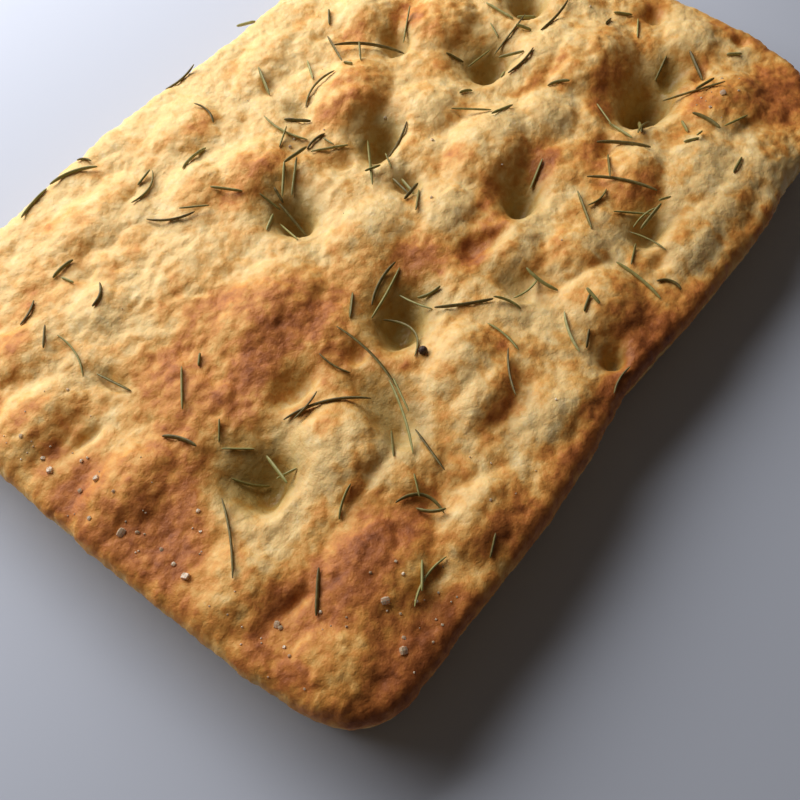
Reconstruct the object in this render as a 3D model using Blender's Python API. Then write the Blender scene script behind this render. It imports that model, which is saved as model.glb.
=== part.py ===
"""Rosemary focaccia: one baked loaf, and the rosemary leaves, salt and peppercorn lying on it.

The sizes below are in millimetres, and the model is in metres with +Z up. +X runs along the
loaf, +Y across it, and the origin is on the surface it lies on, under the middle of its box.
The dough was pressed with fingertips before it was baked in a shallow tin, so the top is a
field of puffs with dimples between them, the sides are steep and the underside is flat.
"""

import math

import bmesh
import bpy
import numpy as np
from mathutils import Matrix, Vector
from mathutils.bvhtree import BVHTree

MM = 0.001
GAP = 0.35             # air left between two pieces that touch

# --- the loaf's driving sizes ---------------------------------------------------------------
LENGTH = 336.0
WIDTH = 230.0
CORNER_RADII = {(-1, -1): 28.0, (1, -1): 50.0, (-1, 1): 34.0, (1, 1): 38.0}
WAIST_Z = 22.5         # height of the widest line round the side
SHOULDER = 4.5         # how far in from the widest line the edge has rolled onto the top
RIM_Z = 26.5           # height of the plain top just inside the shoulder
CROWN_RISE = 2.5       # how much higher the plain top is in the middle
# Down the side, which tapers as the tin did: (height, how far in)
FOOT_RINGS = ((15.0, 1.0), (8.0, 2.1), (3.5, 3.2), (1.2, 4.6), (0.0, 6.0))
GRID = 5.6             # spacing of the top's mesh
CLOSE_ROWS = 17.0      # how far in from the rim the mesh's rows lie closer together
EDGE_REACH = 38.0      # how far in from the edge a swell of the outline is still felt

# --- the top's relief -----------------------------------------------------------------------
CELL = 25.0            # spacing of the small puffs that cover the whole top
CELL_RISE = 2.0
CELL_SEED = 7
PUFF_GAIN = 1.5        # how much higher the large puffs rose than their rows say
PUFF_BLEND = 1.2       # how softly two puffs meet
# A dimple is a wide shallow bowl with a pit in it. Both radii are shares of the dimple's own.
BOWL_RADIUS = 1.15
PIT_FLOOR, PIT_RADIUS = 0.06, 0.55
PIT_SHARE = 0.55       # how much of the depth is the pit's

# Puffs: x, y, half-length, half-width, turn in degrees, rise
PUFFS = (
    (-21, 54, 21, 17, 10, 4.0), (33, 49, 26, 17, 10, 5.0), (90, 47, 24, 17, 15, 4.4),
    (-66, 8, 28, 18, 0, 3.6), (44, -11, 30, 18, 8, 5.0), (112, -17, 30, 20, 0, 5.0),
    (124, -75, 25, 16, -12, 4.0), (8, -86, 21, 17, 0, 4.4), (-86, -99, 20, 14, 0, 3.6),
    (-121, -84, 30, 20, 15, 3.4), (-92, -49, 24, 19, 15, 4.6), (-43, -61, 20, 15, 20, 4.6),
    (8, -46, 15, 17, 0, 3.6), (20, -66, 19, 13, 0, 3.4), (-48, -74, 20, 12, 15, 4.2), (-88, -71, 19, 12, 0, 3.2),
    (67, -65, 19, 14, 10, 3.8), (86, -84, 27, 20, 0, 3.4), (103, -99, 24, 16, 0, 3.2), (82, -99, 26, 12, 0, 3.2),
    (54, -98, 26, 13, 0, 3.4), (150, -44, 17, 15, 0, 3.2), (-149, -91, 20, 17, 0, 3.4),
    (-150, -53, 20, 16, 5, 3.2), (-147, -2, 23, 14, 0, 3.6), (-148, 40, 23, 15, 0, 3.8),
    (-134, 64, 18, 15, 0, 3.2), (-104, 55, 16, 13, 0, 2.8), (47, 21, 19, 17, 0, 3.4),
    (-17, 1, 25, 16, 0, 3.2), (11, -17, 19, 13, 0, 3.2), (70, -19, 22, 15, 0, 3.4),
    (106, 0, 28, 14, 0, 3.2), (-41, 66, 15, 15, 0, 3.0), (-38, -97, 24, 13, 0, 3.2),
    (-82, 88, 24, 15, 0, 2.8), (-20, 92, 22, 16, 20, 3.2), (28, 92, 24, 14, 15, 2.8),
    (78, 76, 24, 18, 20, 3.8), (140, 10, 20, 20, 0, 2.8), (128, 62, 26, 20, 0, 3.2),
)

# Fingertip dimples: x, y, half-length, half-width, turn in degrees, depth, x and y of the
# deepest place
DIMPLES = (
    (-117, -26, 26, 24, 0, 13.0, -118, -40), (-36, -28, 31, 20, 18, 14.0, -43, -36),
    (-28, 33, 20, 20, -10, 15.0, -30, 24), (21, 30, 25, 15, 18, 14.0, 22, 22),
    (87, 22, 27, 19, 12, 15.0, 81, 13), (37, -32, 25, 15, 18, 13.0, 26, -38),
    (112, -42, 34, 22, 0, 22.0, 105, -51), (129, -46, 21, 17, 0, 10.0, 124, -50),
    (127, 29, 18, 18, 0, 14.0, 124, 21), (48, -79, 21, 14, 0, 9.0, 48, -85),
    (134, -56, 14, 11, 30, 4.0, 131, -60), (-8, -100, 12, 10, 0, 9.0, -9, -103),
    (-72, -46, 17, 36, -22, 8.0, -76, -58), (-5, -54, 12, 24, 0, 5.5, -6, -62),
    (9, 6, 12, 14, 0, 7.0, 9, 0), (-122, 34, 9, 20, 0, 4.5, -121, 30),
    (160, -62, 9, 10, 0, 3.5, 160, -64), (71, 58, 20, 13, 20, 8.0, 68, 52),
    (12, 63, 10, 15, 0, 4.5, 12, 60), (-88, -17, 24, 14, 0, 6.0, -85, -24),
    (-97, 70, 11, 13, 0, 3.0, -97, 68), (17, 81, 14, 9, 40, 3.0, 16, 80),
    (52, 82, 13, 9, 0, 2.5, 52, 81), (2, 34, 13, 12, 0, 5.0, 4, 28),
    (153, -21, 13, 15, 0, 6.0, 152, -26), (38, -93, 13, 10, 0, 4.0, 38, -95), (-60, 83, 14, 8, 10, 2.5, -60, 82),
    (-142, 22, 18, 6, 0, 4.0, -142, 21), (-143, -70, 18, 7, -10, 3.5, -143, -71),
    (-62, -27, 11, 15, -10, 5.0, -63, -32), (1, -34, 26, 12, -22, 5.5, 5, -40),
    (72, -46, 17, 9, 15, 5.0, 72, -50),
)

# Swells of the outline: x, y, reach, how far out (in, where negative)
SWELLS = (
    (-12, -115, 26, -3.5), (-70, -115, 26, 1.2), (70, -115, 24, 1.2),
    (108, -112, 16, -1.5), (-45, 115, 42, 2.4), (30, 115, 26, -1.4),
    (95, 115, 30, 1.2), (-168, 0, 32, 1.0), (-168, 62, 24, -1.2),
    (168, 5, 30, 1.0), (168, 60, 24, -1.0), (-120, 115, 22, -1.0),
    (-168, -92, 16, -2.0), (168, -45, 26, 2.0),
)

# --- what lies on the loaf ------------------------------------------------------------------
LEAF_WIDTH = 1.6
LEAF_STATIONS = 7      # rings along a leaf
LEAF_SAMPLES = 25      # places along a leaf where its support is measured
LEAF_TAPER = 0.45      # width at a leaf's ends over its width in the middle
LEAF_SLOPE = 0.45      # the steepest that a leaf lies, height over length

# Leaves: x and y of one end, x and y of the other, sideways bow (to the left of that run)
LEAVES = (
    # left end and its big dimple
    (-149, -51, -131, -29, -1.0), (-142, -78, -130, -69, 0.0), (-127, 1, -123, -11, 1.0),
    (-116, 2, -104, 14, 0.0), (-114, -64, -103, -60, 0.7), (-122, -100, -103, -98, 2.0),
    (-117, -15, -111, -10, 0.0), (-118, -17, -111, -25, 0.0), (-123, -25, -116, -35, -1.0),
    # the long ones between the two middle dimples, and the hooked pair below them
    (-59, -18, -65, -49, 2.0), (-65, -46, -82, -69, 1.0), (-74, -64, -81, -81, 0.0),
    (-87, -65, -78, -57, 0.0), (-98, -27, -75, -46, 3.0), (-99, -75, -92, -89, 4.5),
    # over the middle dimple and down the valley beside it
    (-43, -21, -24, -17, 1.5), (-43, -26, -52, -47, 6.0), (-32, -25, -31, -39, -0.5),
    (-29, -31, -22, -36, -1.0), (-31, -40, -16, -55, -0.5), (-12, -61, 3, -62, -1.2),
    (2, -57, 2, -71, -1.0), (-25, -59, -28, -74, 1.0), (-30, -71, -45, -84, -1.0),
    # the near edge and the shallow dimple by it
    (-5, -78, -15, -91, -1.0), (26, -81, 22, -102, 1.0), (28, -86, 39, -82, 0.0),
    (43, -77, 41, -93, 1.0), (46, -80, 57, -81, 0.0), (53, -51, 60, -77, 2.0),
    # the far edge and the far left
    (-93, 109, -77, 113, 0.5), (-75, 113, -58, 104, 2.0), (-63, 80, -46, 86, -3.0),
    (-65, 70, -52, 57, -2.0), (-40, 60, -34, 49, 0.0), (-106, 55, -97, 61, -1.5),
    (-121, 58, -127, 39, 2.0), (-105, 78, -95, 78, 0.6),
    # the deep dimples in the middle and the saddle between them
    (-24, 37, -12, 47, 0.0), (-29, 38, -31, 24, 0.0), (-1, 43, 10, 33, 0.0),
    (1, 69, 3, 48, -2.0), (16, 60, 36, 61, 3.0), (-2, 11, 20, 31, 0.0),
    # the right half
    (48, 71, 65, 47, 3.0), (49, 11, 57, -3, 0.0), (92, 19, 113, 18, 0.0),
    (81, 5, 98, 4, -1.0), (115, -50, 127, -70, 0.0), (107, -81, 120, -85, 0.0),
)

SALT_SIZE = 2.6
SALT = (               # x, y, turn in degrees
    (-157, -38, 20), (-159, -12, 55), (-151, 7, 5), (-158, 22, 70),
    (-134, -105, 35), (-151, -70, 80), (-126, -92, 15), (122, -72, 50),
)
PEPPERCORN = (-48.5, -48.0, 3.2)   # x, y, diameter

BREAD_COLOUR = (0.62, 0.33, 0.11, 1.0)
LEAF_COLOUR = (0.10, 0.11, 0.03, 1.0)
SALT_COLOUR = (0.85, 0.80, 0.72, 1.0)
PEPPER_COLOUR = (0.05, 0.02, 0.01, 1.0)


def clear_scene():
    for thing in list(bpy.data.objects):
        bpy.data.objects.remove(thing, do_unlink=True)


def material(name, colour, roughness):
    made = bpy.data.materials.new(name)
    made.use_nodes = True
    shader = made.node_tree.nodes["Principled BSDF"]
    shader.inputs["Base Color"].default_value = colour
    shader.inputs["Roughness"].default_value = roughness
    shader.inputs["Metallic"].default_value = 0.0
    return made


def oval_reach(x, y, middle_x, middle_y, half_x, half_y, turn):
    """Distance from an oval's middle, where 1 is its rim."""
    c, s = math.cos(math.radians(turn)), math.sin(math.radians(turn))
    along = ((x - middle_x) * c + (y - middle_y) * s) / half_x
    across = ((y - middle_y) * c - (x - middle_x) * s) / half_y
    return np.hypot(along, across)


def dimple_reach(x, y, middle_x, middle_y, half_x, half_y, turn, deep_x, deep_y):
    """How far out of a dimple a place is: 0 where it is deepest, 1 on its rim."""
    c, s = math.cos(math.radians(turn)), math.sin(math.radians(turn))

    def in_oval(px, py):
        """A place in the oval's own measure, where the rim is a unit circle."""
        return (((px - middle_x) * c + (py - middle_y) * s) / half_x,
                ((py - middle_y) * c - (px - middle_x) * s) / half_y)

    (ax, ay), (qx, qy) = in_oval(deep_x, deep_y), in_oval(x, y)
    dx, dy = qx - ax, qy - ay
    away = dx * dx + dy * dy + 1e-9
    along = ax * dx + ay * dy
    return away / (np.sqrt(along * along + away * (1.0 - ax * ax - ay * ay)) - along)


def smooth_step(value, low, high):
    t = np.clip((value - low) / (high - low), 0.0, 1.0)
    return t * t * (3.0 - 2.0 * t)


def soft_max(first, second, blend):
    gap = np.clip(0.5 + 0.5 * (first - second) / blend, 0.0, 1.0)
    return second + (first - second) * gap + blend * gap * (1.0 - gap)


def cell_domes(x, y, size, seed):
    """Low domes, one round each point of a jittered grid: 1 on a point, 0 a cell away."""
    places = np.random.default_rng(seed).uniform(0.15, 0.85, (64, 64, 2))
    column, line = np.floor(x / size).astype(int), np.floor(y / size).astype(int)
    nearest = np.full(np.shape(x), 9.0)
    for i in (-1, 0, 1):
        for j in (-1, 0, 1):
            jitter = places[(column + i) % 64, (line + j) % 64]
            far = np.hypot(column + i + jitter[..., 0] - x / size,
                           line + j + jitter[..., 1] - y / size)
            nearest = np.minimum(nearest, far)
    return np.clip(1.0 - nearest ** 2, 0.0, None)


def top_height(x, y):
    """Height of the top's relief, before the shoulder rolls it down at the edge."""
    crown = (1.0 - np.abs(2 * x / LENGTH) ** 3) * (1.0 - np.abs(2 * y / WIDTH) ** 3)
    puffed = CELL_RISE * cell_domes(x, y, CELL, CELL_SEED)
    for *oval, rise in PUFFS:
        dome = PUFF_GAIN * rise * (1.0 - oval_reach(x, y, *oval) ** 2)
        puffed = soft_max(puffed, dome, PUFF_BLEND)
    pressed = np.zeros(np.shape(x))
    for *oval, depth, deep_x, deep_y in DIMPLES:
        reach = dimple_reach(x, y, *oval, deep_x, deep_y)
        bowl = 1.0 - smooth_step(reach, 0.0, BOWL_RADIUS)
        pit = 1.0 - smooth_step(reach, PIT_FLOOR, PIT_RADIUS)
        press = depth * (bowl + PIT_SHARE * (pit - bowl))
        pressed = soft_max(pressed, press, PUFF_BLEND)
    return RIM_Z + CROWN_RISE * crown + puffed - pressed


def plan_place(u, v):
    """Where a point of the plain rectangle lies in the rounded plan, and how far it is in.

    The outer rows of the rectangle are drawn towards the rim so that the mesh follows the
    shoulder's curve, and each corner square is drawn in onto a quarter disc.
    """
    half_x, half_y = LENGTH / 2, WIDTH / 2

    def spread(inset):
        close = CLOSE_ROWS * (1.0 - math.cos(math.pi / 2 * inset / CLOSE_ROWS))
        return close if inset < CLOSE_ROWS else inset

    side_x, side_y = (1 if u >= 0 else -1), (1 if v >= 0 else -1)
    x = half_x - spread(half_x - abs(u))
    y = half_y - spread(half_y - abs(v))
    inset = min(half_x - x, half_y - y)
    radius = CORNER_RADII[side_x, side_y]
    past_x, past_y = max(x - half_x + radius, 0.0), max(y - half_y + radius, 0.0)
    outward = Vector((1.0, 0.0)) if half_x - x < half_y - y else Vector((0.0, 1.0))
    if past_x > 0 and past_y > 0:
        drawn = max(past_x, past_y) / math.hypot(past_x, past_y)
        x, y = half_x - radius + past_x * drawn, half_y - radius + past_y * drawn
        outward = Vector((past_x, past_y)).normalized()
    x, y = x * side_x, y * side_y
    outward = Vector((outward.x * side_x, outward.y * side_y))
    swell = sum(push * math.exp(-((x - cx) ** 2 + (y - cy) ** 2) / reach ** 2)
                for cx, cy, reach, push in SWELLS)
    swell *= max(0.0, 1.0 - inset / EDGE_REACH) ** 2
    return x + outward.x * swell, y + outward.y * swell, inset, outward


def shape_top(mesh):
    """Move a flat grid's points onto the loaf's top, and say which way out its rim points face."""
    outward_at = {}
    for point in mesh.verts:
        x, y, inset, outward = plan_place(point.co.x, point.co.y)
        roll = math.sin(math.acos(1.0 - min(inset, SHOULDER) / SHOULDER))
        height = WAIST_Z + (float(top_height(np.array(x), np.array(y))) - WAIST_Z) * roll
        point.co = Vector((x, y, height))
        if point.is_boundary:
            outward_at[point] = outward
    return outward_at


def add_side(mesh, outward_at):
    """Carry the top's open rim down the side to the flat underside, and close it."""
    last_inset = 0.0
    for level, inset in FOOT_RINGS:
        rim = [edge for edge in mesh.edges if edge.is_boundary]
        grown = bmesh.ops.extrude_edge_only(mesh, edges=rim)["geom"]
        lower_ring = [item for item in grown if isinstance(item, bmesh.types.BMVert)]
        upper_ring = outward_at
        outward_at = {}
        for point in lower_ring:
            above = next(other for edge in point.link_edges
                         if (other := edge.other_vert(point)) in upper_ring)
            outward_at[point] = upper_ring[above]
            drawn_in = upper_ring[above] * (inset - last_inset)
            point.co = Vector((point.co.x - drawn_in.x, point.co.y - drawn_in.y, level))
        last_inset = inset
    bmesh.ops.holes_fill(mesh, edges=[edge for edge in mesh.edges if edge.is_boundary])


def build_loaf():
    mesh = bmesh.new()
    bmesh.ops.create_grid(mesh, x_segments=round(LENGTH / GRID), y_segments=round(WIDTH / GRID),
                          size=0.5)
    for point in mesh.verts:
        point.co = Vector((point.co.x * LENGTH, point.co.y * WIDTH, 0.0))
    add_side(mesh, shape_top(mesh))
    bmesh.ops.recalc_face_normals(mesh, faces=mesh.faces)
    bmesh.ops.triangulate(mesh, faces=mesh.faces)
    return mesh


def add_object(name, mesh, finish):
    """Make an object of a mesh that is in millimetres."""
    bmesh.ops.scale(mesh, verts=mesh.verts, vec=(MM, MM, MM))
    data = bpy.data.meshes.new(name)
    mesh.to_mesh(data)
    mesh.free()
    data.materials.append(finish)
    data.shade_smooth()
    made = bpy.data.objects.new(name, data)
    bpy.context.collection.objects.link(made)
    return made


def leaf_path(leaf):
    """Places along a leaf seen from above: a shallow arc from one end to the other."""
    x0, y0, x1, y1, bow = leaf
    length = math.hypot(x1 - x0, y1 - y0)
    side = Vector((y0 - y1, x1 - x0)) / length
    places = []
    for step in range(LEAF_SAMPLES):
        t = step / (LEAF_SAMPLES - 1)
        out = 4.0 * bow * t * (1.0 - t)
        places.append(Vector((x0 + (x1 - x0) * t + side.x * out,
                              y0 + (y1 - y0) * t + side.y * out)))
    return places


def leaf_thickness(t):
    """A leaf's half-width at a share t of its length."""
    body = min(1.0, 4.0 * min(t, 1.0 - t))
    return 0.5 * LEAF_WIDTH * (LEAF_TAPER + (1.0 - LEAF_TAPER) * math.sqrt(body))


def support_under(place, ground, laid):
    """Height that holds a leaf up at one place: the loaf, or a leaf laid there before."""
    height = -math.inf
    struck = ground.ray_cast(Vector((place.x, place.y, 100.0)), Vector((0.0, 0.0, -1.0)))[0]
    if struck:
        height = struck.z
    for other in laid:
        if (Vector((other.x, other.y)) - place).length < LEAF_WIDTH + GAP:
            height = max(height, other.z + 0.5 * LEAF_WIDTH)
    return height


def resting_line(supports, steepest):
    """The stiff straight line that rests on a row of supports under its middle.

    It is the edge, over the middle, of the tightest hull drawn over the supports, and climbs
    no more than `steepest` from one support to the next. Returns its height at both ends.
    """
    last = len(supports) - 1
    hull = []
    for place, height in enumerate(supports):
        if height == -math.inf:
            continue
        while len(hull) > 1:
            (a, low), (b, mid) = hull[-2], hull[-1]
            if (mid - low) * (place - a) <= (height - low) * (b - a):
                hull.pop()
            else:
                break
        hull.append((place, height))
    edges = list(zip(hull, hull[1:]))
    (a, low), (b, high) = next((pair for pair in edges if pair[1][0] >= last / 2), edges[-1])
    slope = max(-steepest, min(steepest, (high - low) / (b - a)))
    start = max(height - slope * place for place, height in hull)
    return start, start + slope * last


def lay_leaf(leaf, ground, laid):
    """A leaf's middle line once it rests on the loaf and on the leaves under it."""
    path = leaf_path(leaf)
    steepest = LEAF_SLOPE * (path[-1] - path[0]).length / (LEAF_SAMPLES - 1)
    start, end = resting_line([support_under(place, ground, laid) for place in path], steepest)
    lift = 0.5 * LEAF_WIDTH + GAP
    line = []
    for step, place in enumerate(path):
        height = start + (end - start) * step / (LEAF_SAMPLES - 1)
        line.append(Vector((place.x, place.y, height + lift)))
    laid.extend(line)
    return line


def add_leaf(name, line, finish):
    """A leaf as a round bevelled curve that tapers towards both ends."""
    curve = bpy.data.curves.new(name, "CURVE")
    curve.dimensions = "3D"
    curve.bevel_depth = MM
    curve.bevel_resolution = 1
    curve.use_fill_caps = True
    spline = curve.splines.new("POLY")
    spline.points.add(LEAF_STATIONS - 1)
    for station, point in enumerate(spline.points):
        t = station / (LEAF_STATIONS - 1)
        place = line[round(t * (LEAF_SAMPLES - 1))] * MM
        point.co = (place.x, place.y, place.z, 1.0)
        point.radius = leaf_thickness(t)
    curve.materials.append(finish)
    made = bpy.data.objects.new(name, curve)
    bpy.context.collection.objects.link(made)


def top_of(ground, x, y):
    return ground.ray_cast(Vector((x, y, 100.0)), Vector((0.0, 0.0, -1.0)))[0].z


def add_salt(number, grain, ground, finish):
    """A coarse crystal: a cube with worn corners, turned and sitting on the crust."""
    x, y, turn = grain
    mesh = bmesh.new()
    bmesh.ops.create_cube(mesh, size=SALT_SIZE)
    bmesh.ops.bevel(mesh, geom=mesh.edges[:], offset=0.18 * SALT_SIZE, segments=1,
                    affect="EDGES")
    bmesh.ops.scale(mesh, verts=mesh.verts, vec=(1.0, 0.8, 0.55))
    bmesh.ops.rotate(mesh, verts=mesh.verts, cent=(0, 0, 0),
                     matrix=Matrix.Rotation(math.radians(turn), 3, "Z"))
    reach = 0.6 * SALT_SIZE
    under = max(top_of(ground, x + dx, y + dy) for dx in (-reach, 0, reach)
                for dy in (-reach, 0, reach))
    bmesh.ops.translate(mesh, verts=mesh.verts,
                        vec=(x, y, under + 0.275 * SALT_SIZE + GAP))
    add_object(f"salt_crystal_{number:02d}", mesh, finish)


def add_peppercorn(ground, finish):
    x, y, diameter = PEPPERCORN
    mesh = bmesh.new()
    bmesh.ops.create_icosphere(mesh, subdivisions=2, radius=diameter / 2)
    reach = diameter / 2
    under = max(top_of(ground, x + dx, y + dy) for dx in (-reach, 0, reach)
                for dy in (-reach, 0, reach))
    bmesh.ops.translate(mesh, verts=mesh.verts, vec=(x, y, under + diameter / 2 + GAP))
    add_object("peppercorn", mesh, finish)


def main():
    clear_scene()
    loaf = build_loaf()
    ground = BVHTree.FromBMesh(loaf)
    add_object("loaf", loaf, material("bread_crust", BREAD_COLOUR, 0.6))
    leaf_finish = material("rosemary_leaf", LEAF_COLOUR, 0.5)
    laid = []
    for number, leaf in enumerate(LEAVES, start=1):
        add_leaf(f"rosemary_leaf_{number:02d}", lay_leaf(leaf, ground, laid), leaf_finish)
    salt_finish = material("salt", SALT_COLOUR, 0.2)
    for number, grain in enumerate(SALT, start=1):
        add_salt(number, grain, ground, salt_finish)
    add_peppercorn(ground, material("peppercorn", PEPPER_COLOUR, 0.5))


main()
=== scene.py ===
"""Rosemary focaccia: the looks of one tin-baked loaf with rosemary leaves, salt and a peppercorn.

The plan sizes in the tables are in millimetres, in the loaf's own frame: +X along the loaf, +Y
across it, +Z up, with the origin on the surface it lies on. Every mesh is made in metres.
"""

import logging
import math
from dataclasses import dataclass, field
from enum import Enum
from typing import Any, NamedTuple, Optional, Sequence

import bpy
import numpy as np
from mathutils import Matrix, Vector, noise
from mathutils.bvhtree import BVHTree


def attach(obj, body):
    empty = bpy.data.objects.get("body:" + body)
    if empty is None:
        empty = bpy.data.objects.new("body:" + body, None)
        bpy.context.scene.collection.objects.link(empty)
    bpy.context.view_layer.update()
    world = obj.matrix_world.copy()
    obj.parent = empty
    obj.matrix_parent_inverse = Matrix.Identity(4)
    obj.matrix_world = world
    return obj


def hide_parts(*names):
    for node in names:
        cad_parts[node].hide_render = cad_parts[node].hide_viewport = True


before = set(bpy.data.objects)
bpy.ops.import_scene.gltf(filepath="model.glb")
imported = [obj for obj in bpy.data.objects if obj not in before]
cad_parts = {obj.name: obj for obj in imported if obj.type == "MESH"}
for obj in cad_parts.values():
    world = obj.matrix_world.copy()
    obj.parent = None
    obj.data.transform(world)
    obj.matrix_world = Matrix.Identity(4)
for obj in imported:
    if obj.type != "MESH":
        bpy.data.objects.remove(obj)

LOG = logging.getLogger("focaccia")
MM = 0.001
BODY = "root"


# ---------------------------------------------------------------------------------------------
# Rows that place things on the loaf
# ---------------------------------------------------------------------------------------------

class Oval(NamedTuple):
    """An oval patch of the top and how strongly it acts."""

    x: float
    y: float
    half_length: float
    half_width: float
    turn: float
    amount: float


class Dimple(NamedTuple):
    """A fingertip's dent: an oval rim, its depth, and where within the rim it is deepest."""

    x: float
    y: float
    half_length: float
    half_width: float
    turn: float
    depth: float
    deep_x: float
    deep_y: float


class Swell(NamedTuple):
    """A place on the rim where the outline stands out, or in where push is negative."""

    x: float
    y: float
    reach: float
    push: float


class Leaf(NamedTuple):
    """A rosemary leaf from one end to the other, and its sideways bow."""

    x0: float
    y0: float
    x1: float
    y1: float
    bow: float


# Puffs of dough that rose between the fingertip dimples: amount is their rise
PUFFS = (
    Oval(-21, 54, 21, 17, 10, 4.0), Oval(33, 49, 26, 17, 10, 5.0), Oval(90, 47, 24, 17, 15, 4.4),
    Oval(-66, 8, 28, 18, 0, 3.6), Oval(44, -11, 30, 18, 8, 5.0), Oval(112, -17, 30, 20, 0, 5.0),
    Oval(124, -75, 25, 16, -12, 4.0), Oval(8, -86, 21, 17, 0, 4.4),
    Oval(-86, -99, 20, 14, 0, 3.6), Oval(-121, -84, 30, 20, 15, 3.4),
    Oval(-92, -49, 24, 19, 15, 4.6), Oval(-43, -61, 20, 15, 20, 4.6),
    Oval(8, -46, 15, 17, 0, 3.6), Oval(20, -66, 19, 13, 0, 3.4), Oval(-48, -74, 20, 12, 15, 4.2),
    Oval(-88, -71, 19, 12, 0, 3.2), Oval(67, -65, 19, 14, 10, 3.8),
    Oval(86, -84, 27, 20, 0, 3.4), Oval(103, -99, 24, 16, 0, 3.2), Oval(82, -99, 26, 12, 0, 3.2),
    Oval(54, -98, 26, 13, 0, 3.4), Oval(150, -44, 17, 15, 0, 3.2),
    Oval(-149, -91, 20, 17, 0, 3.4), Oval(-150, -53, 20, 16, 5, 3.2),
    Oval(-147, -2, 23, 14, 0, 3.6), Oval(-148, 40, 23, 15, 0, 3.8),
    Oval(-134, 64, 18, 15, 0, 3.2), Oval(-104, 55, 16, 13, 0, 2.8), Oval(47, 21, 19, 17, 0, 3.4),
    Oval(-17, 1, 25, 16, 0, 3.2), Oval(11, -17, 19, 13, 0, 3.2), Oval(70, -19, 22, 15, 0, 3.4),
    Oval(106, 0, 28, 14, 0, 3.2), Oval(-41, 66, 15, 15, 0, 3.0), Oval(-38, -97, 24, 13, 0, 3.2),
    Oval(-82, 88, 24, 15, 0, 2.8), Oval(-20, 92, 22, 16, 20, 3.2), Oval(28, 92, 24, 14, 15, 2.8),
    Oval(78, 76, 24, 18, 20, 3.8), Oval(140, 10, 20, 20, 0, 2.8), Oval(128, 62, 26, 20, 0, 3.2),
)

# Fingertip dimples, each deepest where the fingertip ended up
DIMPLES = (
    Dimple(-117, -26, 26, 24, 0, 13.0, -118, -40), Dimple(-36, -28, 31, 20, 18, 14.0, -43, -36),
    Dimple(-28, 33, 20, 20, -10, 15.0, -30, 24), Dimple(21, 30, 25, 15, 18, 14.0, 22, 22),
    Dimple(87, 22, 27, 19, 12, 15.0, 81, 13), Dimple(37, -32, 25, 15, 18, 13.0, 26, -38),
    Dimple(112, -42, 34, 22, 0, 22.0, 105, -51), Dimple(129, -46, 21, 17, 0, 10.0, 124, -50),
    Dimple(127, 29, 18, 18, 0, 14.0, 124, 21), Dimple(48, -79, 21, 14, 0, 9.0, 48, -85),
    Dimple(134, -56, 14, 11, 30, 4.0, 131, -60), Dimple(-8, -100, 12, 10, 0, 9.0, -9, -103),
    Dimple(-72, -46, 17, 36, -22, 8.0, -76, -58), Dimple(-5, -54, 12, 24, 0, 5.5, -6, -62),
    Dimple(9, 6, 12, 14, 0, 7.0, 9, 0), Dimple(-122, 34, 9, 20, 0, 4.5, -121, 30),
    Dimple(160, -62, 9, 10, 0, 3.5, 160, -64), Dimple(71, 58, 20, 13, 20, 8.0, 68, 52),
    Dimple(12, 63, 10, 15, 0, 4.5, 12, 60), Dimple(-88, -17, 24, 14, 0, 6.0, -85, -24),
    Dimple(-97, 70, 11, 13, 0, 3.0, -97, 68), Dimple(17, 81, 14, 9, 40, 3.0, 16, 80),
    Dimple(52, 82, 13, 9, 0, 2.5, 52, 81), Dimple(2, 34, 13, 12, 0, 5.0, 4, 28),
    Dimple(153, -21, 13, 15, 0, 6.0, 152, -26), Dimple(38, -93, 13, 10, 0, 4.0, 38, -95),
    Dimple(-60, 83, 14, 8, 10, 2.5, -60, 82), Dimple(-142, 22, 18, 6, 0, 4.0, -142, 21),
    Dimple(-143, -70, 18, 7, -10, 3.5, -143, -71), Dimple(-62, -27, 11, 15, -10, 5.0, -63, -32),
    Dimple(1, -34, 26, 12, -22, 5.5, 5, -40), Dimple(72, -46, 17, 9, 15, 5.0, 72, -50),
)

SWELLS = (
    Swell(-12, -115, 26, -3.5), Swell(-70, -115, 26, 1.2), Swell(70, -115, 24, 1.2),
    Swell(108, -112, 16, -1.5), Swell(-45, 115, 42, 2.4), Swell(30, 115, 26, -1.4),
    Swell(95, 115, 30, 1.2), Swell(-168, 0, 32, 1.0), Swell(-168, 62, 24, -1.2),
    Swell(168, 5, 30, 1.0), Swell(168, 60, 24, -1.0), Swell(-120, 115, 22, -1.0),
    Swell(-168, -92, 16, -2.0), Swell(168, -45, 26, 2.0),
)

# Small paler and darker patches, partly browning and partly painted light and painted shade where
# the relief falls short: middles only, then middles and half sizes
SMALL_PALE_AND_PAINTED_LIGHT = (
    (25, 38), (45, 18), (-28, 33), (-145, 33), (-140, 58), (68, 55), (82, 72), (98, 38), (95, 0),
    (135, -5), (75, -25), (120, -26), (10, -20), (-12, -4), (-77, 2), (-140, -5), (-87, -18),
    (-115, -26), (-43, -30), (-160, -55), (20, -50), (-12, -62), (28, -74), (44, -78), (80, -66),
    (45, -104), (102, -115), (-97, -105), (-45, -75), (-40, -100), (145, -48), (150, -70),
    (130, -78),
)
SMALL_DARK_AND_PAINTED_SHADE = (
    (-20, -22), (-3, -38), (50, -32), (90, -33), (130, -55), (55, -62), (155, -25), (135, -28),
    (-8, -105), (-145, -20), (-132, -20), (-165, -5), (18, 48), (10, 28), (68, 30), (95, 14),
    (95, 27), (85, 55), (-75, 22), (-108, 70), (-90, 98), (-60, -10), (100, -8), (28, -5),
    (-100, -85), (-145, -110), (-120, -110), (130, -103),
)
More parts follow.
